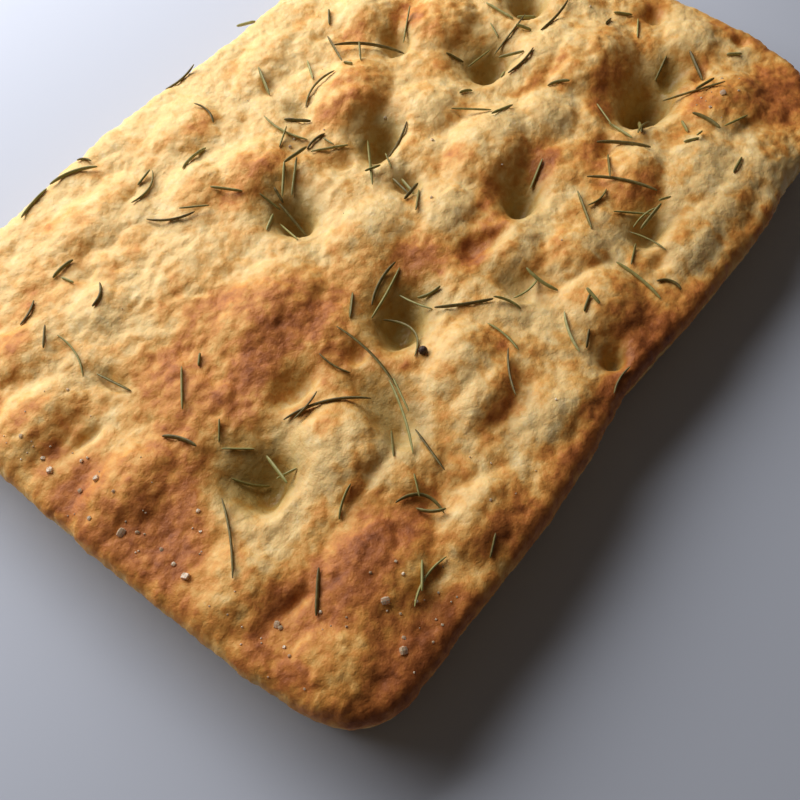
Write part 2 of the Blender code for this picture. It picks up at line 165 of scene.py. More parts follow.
SIZED_PALE_AND_PAINTED_LIGHT = (
    (-155, 33, 12, 8), (-110, 52, 9, 8), (-100, 35, 12, 10), (-70, 75, 12, 7), (10, 15, 9, 8),
    (45, 20, 14, 7), (-15, 0, 12, 8), (0, -17, 16, 8), (55, -12, 9, 7), (70, -25, 9, 6),
    (78, 5, 8, 10), (115, -8, 26, 9), (-85, -72, 12, 9), (-70, -60, 12, 8), (-45, -95, 10, 9),
    (-50, -75, 9, 8), (75, -62, 10, 6), (95, -55, 8, 8), (155, -70, 8, 12), (148, -48, 9, 7),
    (45, -105, 12, 6), (-95, -110, 12, 5), (-15, -60, 9, 6), (15, -50, 12, 6), (30, -68, 10, 7),
    (-120, -28, 6, 6), (10, 62, 8, 6),
)
SIZED_DARK_AND_PAINTED_SHADE = (
    (-22, -27, 12, 7), (-3, -37, 12, 7), (50, -33, 11, 6), (92, -35, 9, 7), (53, -62, 7, 9),
    (130, -55, 11, 8), (-5, -107, 12, 7), (155, -25, 12, 7), (-158, -115, 10, 9),
    (-140, -22, 10, 8), (-100, -88, 10, 8), (-38, 52, 7, 7), (-70, 17, 8, 8), (15, 45, 7, 10),
    (60, 72, 10, 6), (70, 32, 6, 8), (-165, 2, 6, 12),
)

# Patches where the crust is darker (or paler, where negative) than its height alone would make it.
# Some are browning; the rest are painted shade and painted light that make up for relief that
# differs.
BROWNING_AND_PAINTED_SHADING = (
    Oval(-154, -18, 20, 16, 0, 0.30), Oval(-152, -32, 16, 9, 0, 0.26),
    Oval(-152, 30, 20, 6, 0, 0.06), Oval(-158, 10, 16, 8, 0, 0.34),
    Oval(-146, -68, 20, 7, 0, 0.30), Oval(-126, -78, 26, 14, 0, 0.32),
    Oval(-130, -98, 20, 8, 0, 0.16), Oval(-160, -84, 6, 8, 0, 0.26),
    Oval(-108, -80, 16, 9, 0, 0.26), Oval(-132, -109, 28, 8, 0, 0.46),
    Oval(-84, -108, 12, 6, 0, 0.24), Oval(-125, -76, 44, 14, 0, 0.10),
    Oval(-68, 6, 24, 16, 0, 0.28), Oval(-90, -6, 30, 11, 0, 0.38),
    Oval(-108, 14, 20, 14, 0, 0.24), Oval(-66, -22, 16, 14, 0, 0.24),
    Oval(-50, -8, 24, 8, 0, 0.22), Oval(-130, -8, 12, 12, 0, 0.20),
    Oval(-26, 54, 22, 12, 0, 0.22), Oval(34, 52, 26, 14, 10, 0.20),
    Oval(-18, 86, 16, 8, 30, 0.16), Oval(-79, 92, 5, 9, 0, 0.22), Oval(82, 59, 20, 9, 15, 0.40),
    Oval(58, 70, 14, 10, 0, 0.26), Oval(88, 46, 20, 10, 10, 0.26), Oval(84, 12, 20, 6, 0, 0.20),
    Oval(130, 36, 14, 10, 0, 0.20), Oval(118, -14, 18, 6, 0, 0.16),
    Oval(104, -31, 20, 8, 0, 0.30), Oval(90, -37, 8, 8, 0, 0.26), Oval(57, -73, 13, 9, 0, 0.30),
    Oval(134, -80, 20, 12, -15, 0.24), Oval(143, -94, 24, 12, 0, 0.50),
    Oval(43, -33, 21, 9, 8, 0.48), Oval(70, -46, 17, 9, 0, 0.36),
    Oval(-16, -21, 16, 11, 0, 0.44), Oval(8, -36, 24, 7, -6, 0.44),
    Oval(-3, -39, 12, 6, 0, 0.20), Oval(22, -60, 16, 6, 0, 0.16), Oval(6, -100, 16, 9, 0, 0.24),
    Oval(-6, -108, 26, 8, 0, 0.50), Oval(-57, -84, 12, 5, 15, 0.26),
    Oval(-32, -70, 15, 5, 40, 0.20), Oval(14, -27, 8, 6, 0, 0.20),
    Oval(-44, -110, 20, 5, 0, 0.20), Oval(116, -64, 14, 10, 0, 0.34),
    Oval(129, -52, 18, 11, 0, 0.42), Oval(60, -55, 11, 7, 0, 0.22), Oval(62, -98, 7, 5, 0, 0.16),
    Oval(30, -111, 22, 5, 0, 0.22), Oval(-132, 68, 9, 8, 0, 0.20),
    Oval(-147, 60, 10, 8, 0, 0.14), Oval(-116, 76, 11, 8, 0, 0.20),
    Oval(-90, 97, 13, 7, 0, 0.16), Oval(-45, 66, 9, 7, 0, 0.22), Oval(10, 97, 12, 6, 0, 0.14),
    Oval(30, 93, 10, 5, 20, 0.16), Oval(-153, 42, 12, 5, 0, 0.16),
    Oval(163, -60, 6, 20, 0, 0.24), Oval(153, -21, 15, 9, 0, 0.36),
    Oval(152, -78, 11, 12, 0, 0.30), Oval(24, -27, 10, 6, 0, 0.24), Oval(28, -3, 12, 5, 0, 0.16),
    Oval(78, -5, 14, 5, 0, 0.16), Oval(-60, -11, 20, 6, 0, 0.14), Oval(-78, 25, 13, 8, 0, 0.16),
    Oval(-125, 2, 46, 10, 0, 0.12), Oval(-96, 22, 38, 12, 0, 0.12),
    Oval(-94, -22, 22, 9, 0, 0.20), Oval(-79, -38, 8, 10, 0, 0.20),
    Oval(-58, -36, 9, 9, 0, 0.22), Oval(-106, -14, 12, 6, 0, 0.20), Oval(95, -8, 22, 5, 0, 0.20),
    Oval(2, 34, 10, 9, 0, 0.22), Oval(-150, -92, 14, 10, 0, -0.12),
    Oval(-140, 21, 20, 5, 0, -0.18), Oval(0, 106, 150, 18, 0, -0.05),
    Oval(-74, -92, 24, 10, 10, -0.12), Oval(88, -84, 26, 16, 0, -0.22),
    Oval(108, 4, 30, 11, 0, -0.16), Oval(8, -20, 17, 8, 0, -0.30),
    Oval(72, -20, 17, 11, 0, -0.26), Oval(58, -11, 14, 6, 0, -0.12),
    Oval(54, -6, 24, 9, 0, -0.14), Oval(26, -48, 22, 8, 0, -0.14),
    Oval(-40, -54, 20, 10, 0, -0.12), Oval(-94, -50, 22, 11, 0, -0.18),
    Oval(-118, -49, 26, 7, 0, -0.34), Oval(-100, -34, 6, 14, -8, -0.34),
    Oval(-10, -70, 9, 14, 0, -0.16), Oval(-98, 50, 24, 12, 0, -0.12),
    Oval(-54, -70, 16, 8, 20, -0.12), Oval(-42, -96, 24, 10, 0, -0.24),
    Oval(34, -74, 15, 10, 0, -0.24), Oval(-12, -60, 8, 10, 0, -0.14),
    Oval(-88, -62, 20, 7, 0, -0.14), Oval(-46, -68, 16, 8, 15, -0.14),
    Oval(-66, 44, 12, 14, 0, -0.06), Oval(76, -98, 32, 9, 0, -0.18),
    Oval(100, -110, 20, 8, 0, -0.40), Oval(48, -103, 16, 8, 0, -0.24),
    Oval(48, 17, 18, 7, 0, -0.20), Oval(18, 12, 10, 6, 0, -0.10), Oval(-45, 14, 12, 9, 0, -0.10),
    Oval(82, 76, 14, 10, 0, -0.10), Oval(84, 2, 18, 6, 0, -0.10),
    Oval(148, -47, 13, 9, 0, -0.20), Oval(-10, -1, 14, 8, 0, -0.12),
    Oval(-114, -94, 12, 5, 0, -0.12), Oval(4, -54, 14, 7, 0, -0.10),
    Oval(-152, -56, 16, 6, 0, -0.14),
    *(Oval(x, y, 10, 8, 0, -0.09) for x, y in SMALL_PALE_AND_PAINTED_LIGHT),
    Oval(85, -92, 20, 11, 0, -0.14),
    *(Oval(x, y, 9, 7, 0, 0.09) for x, y in SMALL_DARK_AND_PAINTED_SHADE),
    *(Oval(*patch, 0, -0.11) for patch in SIZED_PALE_AND_PAINTED_LIGHT),
    *(Oval(*patch, 0, 0.11) for patch in SIZED_DARK_AND_PAINTED_SHADE),
)

# Patches strewn with salt: amount is how many grains
SALTED = (
    Oval(-157, 5, 10, 34, 0, 20), Oval(-146, -22, 14, 16, 0, 10), Oval(-125, -104, 26, 9, 0, 14),
    Oval(-126, -84, 20, 14, 0, 10), Oval(-158, -70, 8, 30, 0, 12), Oval(122, -72, 14, 9, 0, 10),
    Oval(-148, 34, 16, 12, 0, 8), Oval(-60, -92, 34, 14, 0, 6), Oval(0, 0, 140, 90, 0, 14),
)

BIG_GRAINS = (
    (-157, -38), (-159, -12), (-151, 7), (-158, 22), (-134, -105), (-151, -70), (-126, -92),
    (122, -72),
)

LEAVES = (
    # left band
    Leaf(-149, -51, -131, -29, -1), Leaf(-142, -78, -130, -69, 0), Leaf(-127, 1, -123, -11, 1),
    Leaf(-116, 2, -104, 14, 0), Leaf(-114, -64, -103, -60, 0.7), Leaf(-122, -100, -103, -98, 2),
    Leaf(-117, -99, -109, -93, 0), Leaf(-95, -109, -88, -106, 0),
    # the big dimple at the left end
    Leaf(-117, -15, -111, -10, 0), Leaf(-118, -17, -111, -25, 0), Leaf(-123, -25, -116, -35, -1),
    Leaf(-114, -37, -108, -41, 0), Leaf(-110, -29, -114, -42, 0),
    # the hooked pair
    Leaf(-99, -75, -92, -89, 4.5), Leaf(-96, -81, -91, -89, -1), Leaf(-93, -80, -88, -74, 0),
    # the long ones between the two near dimples
    Leaf(-59, -18, -65, -49, 2), Leaf(-65, -46, -82, -69, 1), Leaf(-64, -47, -71, -59, 0),
    Leaf(-87, -65, -78, -57, 0), Leaf(-74, -64, -81, -81, 0), Leaf(-71, -20, -70, -33, -1),
    Leaf(-98, -27, -75, -46, 3), Leaf(-96, -30, -84, -30, -0.5),
    # over the middle dimple and down the valley beside it
    Leaf(-43, -21, -24, -17, 1.5), Leaf(-47, -24, -24, -19, -0.5), Leaf(-43, -26, -52, -47, 6),
    Leaf(-32, -25, -31, -39, -0.5), Leaf(-29, -31, -22, -36, -1), Leaf(-31, -40, -16, -55, -0.5),
    Leaf(-53, -19, -44, -13, 0), Leaf(-16, -55, -13, -65, 1), Leaf(-12, -61, 3, -62, -1.2),
    Leaf(2, -57, 2, -71, -1),
    # between that valley and the near edge
    Leaf(-25, -59, -28, -74, 1), Leaf(-30, -71, -45, -84, -1), Leaf(-5, -78, -15, -91, -1),
    Leaf(-2, -84, 5, -82, 0), Leaf(5, -80, 3, -87, 0), Leaf(-21, -109, -9, -108, 1),
    Leaf(-12, -92, -6, -89, 0),
    # the shallow dimple by the near edge
    Leaf(26, -81, 22, -102, 1), Leaf(28, -86, 39, -82, 0), Leaf(43, -77, 41, -93, 1),
    Leaf(28, -97, 30, -106, 2), Leaf(45, -68, 56, -80, 0), Leaf(46, -77, 56, -80, 1),
    Leaf(46, -80, 57, -81, 0), Leaf(56, -80, 63, -82, 0),
    # the puff behind it
    Leaf(41, -59, 53, -60, -1.2), Leaf(53, -51, 60, -77, 2), Leaf(32, -66, 45, -52, 0),
    Leaf(56, -59, 69, -51, 0), Leaf(51, -32, 39, -35, 0),
    # the valley in the middle
    Leaf(-1, -9, 9, -3, 0), Leaf(11, 7, 7, -2, 0), Leaf(8, 9, 5, -1, 0), Leaf(1, -2, 11, -1, 0),
    # the far edge
    Leaf(-93, 109, -77, 113, 0.5), Leaf(-75, 113, -58, 104, 2), Leaf(-60, 114, -57, 109, 1),
    Leaf(-9, 116, 6, 113, -1.5), Leaf(39, 120, 43, 112, 0),
    # the far left
    Leaf(-63, 80, -46, 86, -3), Leaf(-55, 85, -47, 86, 0), Leaf(-39, 76, -25, 77, 1),
    Leaf(-12, 95, -14, 83, 2), Leaf(-65, 70, -52, 57, -2), Leaf(-55, 62, -47, 54, 0),
    Leaf(-40, 60, -34, 49, 0), Leaf(-105, 78, -95, 78, 0.6), Leaf(-103, 76, -102, 70, 0),
    Leaf(-106, 55, -97, 61, -1.5), Leaf(-126, 72, -116, 76, -0.7), Leaf(-128, 57, -121, 64, 0),
    Leaf(-121, 58, -127, 39, 2), Leaf(-123, 37, -121, 22, 0), Leaf(-100, 10, -96, 13, 0),
    # the deep dimple left of the middle
    Leaf(-41, 31, -32, 36, 0), Leaf(-30, 44, -29, 35, 0), Leaf(-28, 36, -31, 20, 0),
    Leaf(-33, 32, -38, 18, 0), Leaf(-24, 42, -26, 36, 0), Leaf(-25, 37, -14, 45, 0),
    Leaf(-22, 35, -9, 43, 0), Leaf(-15, 44, -3, 43, 0),
    # the saddle between the deep dimples
    Leaf(-1, 45, 9, 44, 1), Leaf(-1, 43, 10, 33, 0), Leaf(1, 69, 3, 48, -2),
    Leaf(-9, 52, 2, 58, 0), Leaf(5, 62, 11, 53, 0), Leaf(16, 60, 36, 61, 3), Leaf(7, 43, 6, 37, 0),
    Leaf(-2, 11, 20, 31, 0), Leaf(11, 12, 15, 18, 0), Leaf(2, 18, 8, 15, 0),
    Leaf(17, 19, 34, 22, -1),
    # the far middle
    Leaf(12, 76, 20, 89, 0), Leaf(29, 67, 37, 77, 0), Leaf(42, 61, 43, 57, 0),
    Leaf(41, 61, 54, 80, 0), Leaf(48, 71, 65, 47, 3), Leaf(47, 56, 56, 64, 0),
    Leaf(59, 83, 66, 89, 0), Leaf(49, 11, 57, -3, 0), Leaf(54, -5, 65, -8, 0),
    Leaf(59, 14, 64, 11, 0.7),
    # the deep dimples on the right
    Leaf(76, 33, 79, 26, 0), Leaf(80, 24, 93, 22, 0), Leaf(92, 19, 113, 18, 0),
    Leaf(91, 16, 96, 7, 0), Leaf(81, 5, 98, 4, -1), Leaf(79, 7, 85, 9, 0),
    Leaf(71, 52, 86, 60, 0), Leaf(111, 37, 110, 22, 0), Leaf(103, 29, 99, 22, 0),
    Leaf(110, 8, 133, 9, -1), Leaf(106, 18, 109, 12, 0), Leaf(115, 23, 121, 17, 0),
    # the big dimple on the right and the shallow one beside it
    Leaf(72, -44, 81, -63, 1), Leaf(85, -42, 80, -55, 0), Leaf(83, -44, 90, -33, 0),
    Leaf(94, -51, 86, -56, 0), Leaf(82, -56, 94, -55, 1), Leaf(113, -52, 127, -70, 0),
    Leaf(118, -62, 128, -65, 0), Leaf(140, -48, 131, -60, 0), Leaf(123, -43, 134, -41, 0),
    # the near right
    Leaf(91, -72, 96, -76, 0), Leaf(95, -75, 100, -75, 0), Leaf(107, -67, 106, -80, 1),
    Leaf(107, -81, 120, -85, 0), Leaf(89, -95, 98, -94, 0), Leaf(99, -70, 103, -65, 0),
    Leaf(85, -12, 90, -19, 1), Leaf(141, -10, 145, -17, 0), Leaf(134, -26, 145, -20, 0),
    Leaf(149, -61, 153, -66, 0), Leaf(130, -12, 137, -11, 0),
)


# ---------------------------------------------------------------------------------------------
# Small tools
# ---------------------------------------------------------------------------------------------

def linear_colour(code: str) -> tuple[float, float, float, float]:
    """Turn an sRGB hex colour into the linear colour that a shader takes.

    Args:
        code: Six hex digits, with or without a leading #.

    Returns:
        Red, green, blue and an alpha of 1.
    """
    parts = [int(code.lstrip("#")[i:i + 2], 16) / 255 for i in (0, 2, 4)]
    linear = [p / 12.92 if p <= 0.04045 else ((p + 0.055) / 1.055) ** 2.4 for p in parts]
    return (*linear, 1.0)


def add_node(tree: bpy.types.NodeTree, kind: str, inputs: Optional[dict] = None,
             **settings: Any) -> bpy.types.Node:
    """Add one node with its settings, and fill or link its inputs.

    Args:
        tree: The node tree to add to.
        kind: The node's type name.
        inputs: Values by input name or index. A socket is linked, anything else is set.
        settings: The node's own properties.

    Returns:
        The new node.
    """
    node = tree.nodes.new(kind)
    for name, value in settings.items():
        setattr(node, name, value)
    for name, value in (inputs or {}).items():
        if isinstance(value, bpy.types.NodeSocket):
            tree.links.new(value, node.inputs[name])
        else:
            node.inputs[name].default_value = value
    return node


def smooth_step(value: np.ndarray, low: float, high: float) -> np.ndarray:
    """Rise smoothly from 0 at low to 1 at high."""
    t = np.clip((value - low) / (high - low), 0.0, 1.0)
    return t * t * (3.0 - 2.0 * t)


def soft_max(first: np.ndarray, second: np.ndarray, blend: float) -> np.ndarray:
    """The larger of two heights, with the crease between them rounded over blend."""
    gap = np.clip(0.5 + 0.5 * (first - second) / blend, 0.0, 1.0)
    return second + (first - second) * gap + blend * gap * (1.0 - gap)


def oval_reach(x: np.ndarray, y: np.ndarray, oval: Oval) -> np.ndarray:
    """Distance from an oval's middle, where 1 is its rim."""
    c, s = math.cos(math.radians(oval.turn)), math.sin(math.radians(oval.turn))
    along = ((x - oval.x) * c + (y - oval.y) * s) / oval.half_length
    across = ((y - oval.y) * c - (x - oval.x) * s) / oval.half_width
    return np.hypot(along, across)


def dimple_reach(x: np.ndarray, y: np.ndarray, dimple: Dimple) -> np.ndarray:
    """How far out of a dimple a place is: 0 where it is deepest, 1 on its rim."""
    c, s = math.cos(math.radians(dimple.turn)), math.sin(math.radians(dimple.turn))

    def in_oval(px: np.ndarray, py: np.ndarray) -> tuple[np.ndarray, np.ndarray]:
        """Turn a place into the oval's own measure, where the rim is a unit circle."""
        return (((px - dimple.x) * c + (py - dimple.y) * s) / dimple.half_length,
                ((py - dimple.y) * c - (px - dimple.x) * s) / dimple.half_width)

    (ax, ay), (qx, qy) = in_oval(dimple.deep_x, dimple.deep_y), in_oval(x, y)
    dx, dy = qx - ax, qy - ay
    away = dx * dx + dy * dy + 1e-9
    along = ax * dx + ay * dy
    rim = (np.sqrt(along * along + away * (1.0 - ax * ax - ay * ay)) - along) / away
    return 1.0 / rim


def cell_domes(x: np.ndarray, y: np.ndarray, size: float, seed: int) -> np.ndarray:
    """Low domes round the points of a jittered grid.

    Args:
        x: Places along the loaf.
        y: Places across the loaf.
        size: The grid's spacing, in the same unit.
        seed: Which of the possible jitters to use.

    Returns:
        1 on a grid point, falling to 0 a cell away from it.
    """
    places = np.random.default_rng(seed).uniform(0.15, 0.85, (64, 64, 2))
    column, line = np.floor(x / size).astype(int), np.floor(y / size).astype(int)
    nearest = np.full(np.shape(x), 9.0)
    for i in (-1, 0, 1):
        for j in (-1, 0, 1):
            jitter = places[(column + i) % 64, (line + j) % 64]
            far = np.hypot(column + i + jitter[..., 0] - x / size,
                           line + j + jitter[..., 1] - y / size)
            nearest = np.minimum(nearest, far)
    return np.clip(1.0 - nearest ** 2, 0.0, None)


def space_noise(places: np.ndarray, size: float, octaves: int = 1,
                offset: float = 0.0) -> np.ndarray:
    """Smooth noise in space, about -1 to 1.

    Args:
        places: An array of points, in millimetres.
        size: About how wide one bump is, in millimetres.
        octaves: How many finer layers are added.
        offset: Moves the pattern, so that two uses differ.

    Returns:
        One value for each point.
    """
    shift = Vector((offset, 1.7 * offset, -0.6 * offset))
    return np.array([noise.fractal(Vector(p) / size + shift, 0.9, 2.1, octaves)
                     for p in places])


def cell_noise(places: np.ndarray, size: float, offset: float = 0.0) -> np.ndarray:
    """Distance from each point to the nearest of a scatter of points, in cells."""
    shift = Vector((offset, 1.7 * offset, -0.6 * offset))
    return np.array([noise.voronoi(Vector(p) / size + shift)[0][0] for p in places])


def plain_piece(name: str, mesh: bpy.types.Mesh) -> bpy.types.Object:
    """Put a finished mesh in the scene as an object at the origin."""
    piece = bpy.data.objects.new(name, mesh)
    bpy.context.scene.collection.objects.link(piece)
    return piece


def settle(name: str, source: bpy.types.Object, tree: bpy.types.NodeTree,
           inputs: dict) -> bpy.types.Object:
    """Run a geometry tree on an object and keep the result as a plain mesh.

    Args:
        name: The finished piece's name.
        source: The object that the tree works on. It is removed.
        tree: The geometry tree.
        inputs: Values for the tree's named inputs.

    Returns:
        The finished piece.
    """
    modifier = source.modifiers.new(tree.name, "NODES")
    modifier.node_group = tree
    for item in tree.interface.items_tree:
        if item.item_type == "SOCKET" and item.in_out == "INPUT" and item.name in inputs:
            modifier[item.identifier] = inputs[item.name]
    evaluated = source.evaluated_get(bpy.context.evaluated_depsgraph_get())
    mesh = bpy.data.meshes.new_from_object(evaluated)
    mesh.name = name
    source.modifiers.remove(modifier)
    bpy.data.objects.remove(source, do_unlink=True)
    return plain_piece(name, mesh)


# ---------------------------------------------------------------------------------------------
# Finishes
# ---------------------------------------------------------------------------------------------

@dataclass(frozen=True)
class BreadCrust:
    """Baked wheat crust brushed with olive oil.

    Dry heat turns the skin from cream through gold to chestnut, blotchily and most on what
    stands proud. The skin is matt and finely blistered, and it shines a little where oil lies.
    Painted shade darkens the creases between its small knobs and painted highlight pales their
    tops; the oil's grey-green tint on the deep dimples' floors is partly painted shade.
    """

    roughness: float = 0.52
    oiled_roughness: float = 0.36
    ior: float = 1.45
    mottle_mm: float = 6.0
    blister_mm: float = 2.6
    knob_mm: float = 4.6
    drift_mm: float = 3.5
    grain_mm: float = 0.55
    steps: tuple[tuple[float, str], ...] = (
        (0.00, "#F9DBA0"), (0.08, "#F6D28F"), (0.17, "#F4CC89"), (0.30, "#EDB86A"),
        (0.45, "#DF9A4B"), (0.60, "#CA7E3E"), (0.74, "#A96230"), (0.87, "#844822"),
        (1.00, "#57290E"),
    )

    def make(self) -> bpy.types.Material:
        """Build the material. It reads the piece's toast and oil attributes."""
        material = bpy.data.materials.new("baked_wheat_crust")
        material.use_nodes = True
        tree = material.node_tree
        shader = tree.nodes["Principled BSDF"]
        place = add_node(tree, "ShaderNodeTexCoord").outputs["Object"]
        toast_and_painted_shade = add_node(tree, "ShaderNodeAttribute", attribute_name="toast_and_painted_shade").outputs["Fac"]
        oil = add_node(tree, "ShaderNodeAttribute", attribute_name="oil").outputs["Fac"]
        mottle = add_node(tree, "ShaderNodeTexNoise", {
            "Vector": place, "Scale": 1 / (self.mottle_mm * MM), "Detail": 5.0,
            "Roughness": 0.62}).outputs["Fac"]
        fleck = add_node(tree, "ShaderNodeTexNoise", {
            "Vector": place, "Scale": 1 / (self.blister_mm * MM), "Detail": 4.0,
            "Roughness": 0.6}).outputs["Fac"]
        drift = add_node(tree, "ShaderNodeTexNoise", {
            "Vector": place, "Scale": 1 / (5.0 * MM), "Detail": 2.0}).outputs["Color"]
        drifted = add_node(tree, "ShaderNodeVectorMath", {0: drift, 1: (0.5, 0.5, 0.5)},
                           operation="SUBTRACT").outputs["Vector"]
        drifted = add_node(tree, "ShaderNodeVectorMath", {0: drifted, "Scale": self.drift_mm * MM},
                           operation="SCALE").outputs["Vector"]
        drifted = add_node(tree, "ShaderNodeVectorMath", {0: place, 1: drifted},
                           operation="ADD").outputs["Vector"]
        crease = add_node(tree, "ShaderNodeTexVoronoi", {
            "Vector": drifted, "Scale": 1 / (self.knob_mm * MM), "Smoothness": 0.35},
            feature="SMOOTH_F1").outputs["Distance"]
        # Painted shade and painted highlight: darker in the creases between the knobs, paler on
        # their tops.
        painted_crease_shade = add_node(tree, "ShaderNodeMapRange", {
            "Value": crease, "From Min": 0.1, "From Max": 0.8, "To Min": -0.05,
            "To Max": 0.07}).outputs["Result"]
        knob = add_node(tree, "ShaderNodeMapRange", {
            "Value": crease, "From Min": 0.0, "From Max": 1.0, "To Min": 1.0,
            "To Max": 0.0}).outputs["Result"]
        strong = add_node(tree, "ShaderNodeMapRange", {
            "Value": mottle, "From Min": 0.3, "From Max": 0.7, "To Min": -0.10,
            "To Max": 0.10}).outputs["Result"]
        fine = add_node(tree, "ShaderNodeMapRange", {
            "Value": fleck, "From Min": 0.3, "From Max": 0.7, "To Min": -0.08,
            "To Max": 0.08}).outputs["Result"]
        total = add_node(tree, "ShaderNodeMath", {0: toast_and_painted_shade, 1: strong}, operation="ADD")
        total = add_node(tree, "ShaderNodeMath", {0: total.outputs[0], 1: painted_crease_shade},
                         operation="ADD")
        total = add_node(tree, "ShaderNodeMath", {0: total.outputs[0], 1: fine},
                         operation="ADD", use_clamp=True)
        ramp = add_node(tree, "ShaderNodeValToRGB", {"Fac": total.outputs[0]})
        stops = ramp.color_ramp.elements
        while len(stops) < len(self.steps):
            stops.new(1.0)
        for stop, (position, code) in zip(stops, self.steps):
            stop.position = position
            stop.color = linear_colour(code)
        # The oil's grey-green tint darkens the dimples: partly soaked dough, partly painted shade
        # on deep floors.
        soaked_and_pit_shade = add_node(tree, "ShaderNodeMix", {
            "Factor": oil, "A": ramp.outputs["Color"], "B": linear_colour("#A5A588")},
            data_type="RGBA", blend_type="MULTIPLY")
        tree.links.new(soaked_and_pit_shade.outputs["Result"], shader.inputs["Base Color"])
        shine = add_node(tree, "ShaderNodeMapRange", {
            "Value": oil, "From Min": 0.0, "From Max": 1.0, "To Min": self.roughness,
            "To Max": self.oiled_roughness})
        tree.links.new(shine.outputs["Result"], shader.inputs["Roughness"])
        grain = add_node(tree, "ShaderNodeTexNoise", {
            "Vector": place, "Scale": 1 / (self.grain_mm * MM), "Detail": 2.0}).outputs["Fac"]
        knobs = add_node(tree, "ShaderNodeBump", {
            "Height": knob, "Strength": 0.45, "Distance": 1.0 * MM})
        blisters = add_node(tree, "ShaderNodeBump", {
            "Height": fleck, "Strength": 0.6, "Distance": 0.9 * MM,
            "Normal": knobs.outputs["Normal"]})
        skin = add_node(tree, "ShaderNodeBump", {
            "Height": grain, "Strength": 0.3, "Distance": 0.25 * MM,
            "Normal": blisters.outputs["Normal"]})
        tree.links.new(skin.outputs["Normal"], shader.inputs["Normal"])
        shader.inputs["IOR"].default_value = self.ior
        shader.inputs["Specular IOR Level"].default_value = 0.3
        shader.inputs["Subsurface Weight"].default_value = 0.08
        shader.inputs["Subsurface Radius"].default_value = (1.0, 0.5, 0.2)
        shader.inputs["Subsurface Scale"].default_value = 2.5 * MM
        return material


@dataclass(frozen=True)
class BakedRosemary:
    """Rosemary leaf dried in the oven: olive to brown from leaf to leaf, with fine specks."""

    roughness: float = 0.5

    def make(self) -> bpy.types.Material:
        """Build the material. It reads the piece's tone attribute."""
        material = bpy.data.materials.new("baked_rosemary_leaf")
        material.use_nodes = True
        tree = material.node_tree
        shader = tree.nodes["Principled BSDF"]
        place = add_node(tree, "ShaderNodeTexCoord").outputs["Object"]
        tone = add_node(tree, "ShaderNodeAttribute", attribute_name="tone").outputs["Fac"]
        specks = add_node(tree, "ShaderNodeTexNoise", {
            "Vector": place, "Scale": 1 / (1.5 * MM), "Detail": 3.0}).outputs["Fac"]
        mixed = add_node(tree, "ShaderNodeMath", {0: specks, 1: 0.6, 2: tone},
                         operation="MULTIPLY_ADD")
        ramp = add_node(tree, "ShaderNodeValToRGB", {"Fac": mixed.outputs[0]})
        stops = ramp.color_ramp.elements
        codes = ((0.12, "#625328"), (0.35, "#807741"), (0.62, "#999658"), (0.95, "#BDB98A"))
        while len(stops) < len(codes):
            stops.new(1.0)
        for stop, (position, code) in zip(stops, codes):
            stop.position = position
            stop.color = linear_colour(code)
        tree.links.new(ramp.outputs["Color"], shader.inputs["Base Color"])
        shader.inputs["Roughness"].default_value = self.roughness
        return material


@dataclass(frozen=True)
class SaltGrain:
    """Coarse salt, part melted by the oven: clear, faintly milky, with sharp glints."""

    roughness: float = 0.22
    ior: float = 1.5

    def make(self) -> bpy.types.Material:
        """Build the material."""
        material = bpy.data.materials.new("coarse_salt")
        material.use_nodes = True
        shader = material.node_tree.nodes["Principled BSDF"]
        shader.inputs["Base Color"].default_value = linear_colour("#EED9BC")
        shader.inputs["Roughness"].default_value = self.roughness
        shader.inputs["IOR"].default_value = self.ior
        shader.inputs["Transmission Weight"].default_value = 0.4
        shader.inputs["Subsurface Weight"].default_value = 0.3
        shader.inputs["Subsurface Radius"].default_value = (1.0, 0.8, 0.6)
        shader.inputs["Subsurface Scale"].default_value = 1.0 * MM
        return material


@dataclass(frozen=True)
class PepperSkin:
    """A black peppercorn's dried skin: dark brown, wrinkled, dull."""

    roughness: float = 0.55

    def make(self) -> bpy.types.Material:
        """Build the material."""
        material = bpy.data.materials.new("peppercorn_skin")
        material.use_nodes = True
        tree = material.node_tree
        shader = tree.nodes["Principled BSDF"]
        place = add_node(tree, "ShaderNodeTexCoord").outputs["Object"]
        tint = add_node(tree, "ShaderNodeTexNoise", {
            "Vector": place, "Scale": 1 / (0.8 * MM), "Detail": 3.0}).outputs["Fac"]
        colour = add_node(tree, "ShaderNodeMix", {
            "Factor": tint, "A": linear_colour("#1B0F0C"), "B": linear_colour("#4A2C20")},
            data_type="RGBA")
        tree.links.new(colour.outputs["Result"], shader.inputs["Base Color"])
        shader.inputs["Roughness"].default_value = self.roughness
        return material


@dataclass(frozen=True)
class MattPaper:
    """The studio's floor: a plain pale sheet with a cool cast."""

    colour: str = "#C2CADC"
    roughness: float = 0.85

    def make(self) -> bpy.types.Material:
        """Build the material."""
        material = bpy.data.materials.new("matt_paper")
        material.use_nodes = True
        shader = material.node_tree.nodes["Principled BSDF"]
        shader.inputs["Base Color"].default_value = linear_colour(self.colour)
        shader.inputs["Roughness"].default_value = self.roughness
        shader.inputs["Specular IOR Level"].default_value = 0.2
        return material


# ---------------------------------------------------------------------------------------------
# The loaf
# ---------------------------------------------------------------------------------------------

class Skin(Enum):
    """The regions of the loaf's surface, which brown differently."""

    TOP = 0
    SIDE = 1
    UNDERSIDE = 2


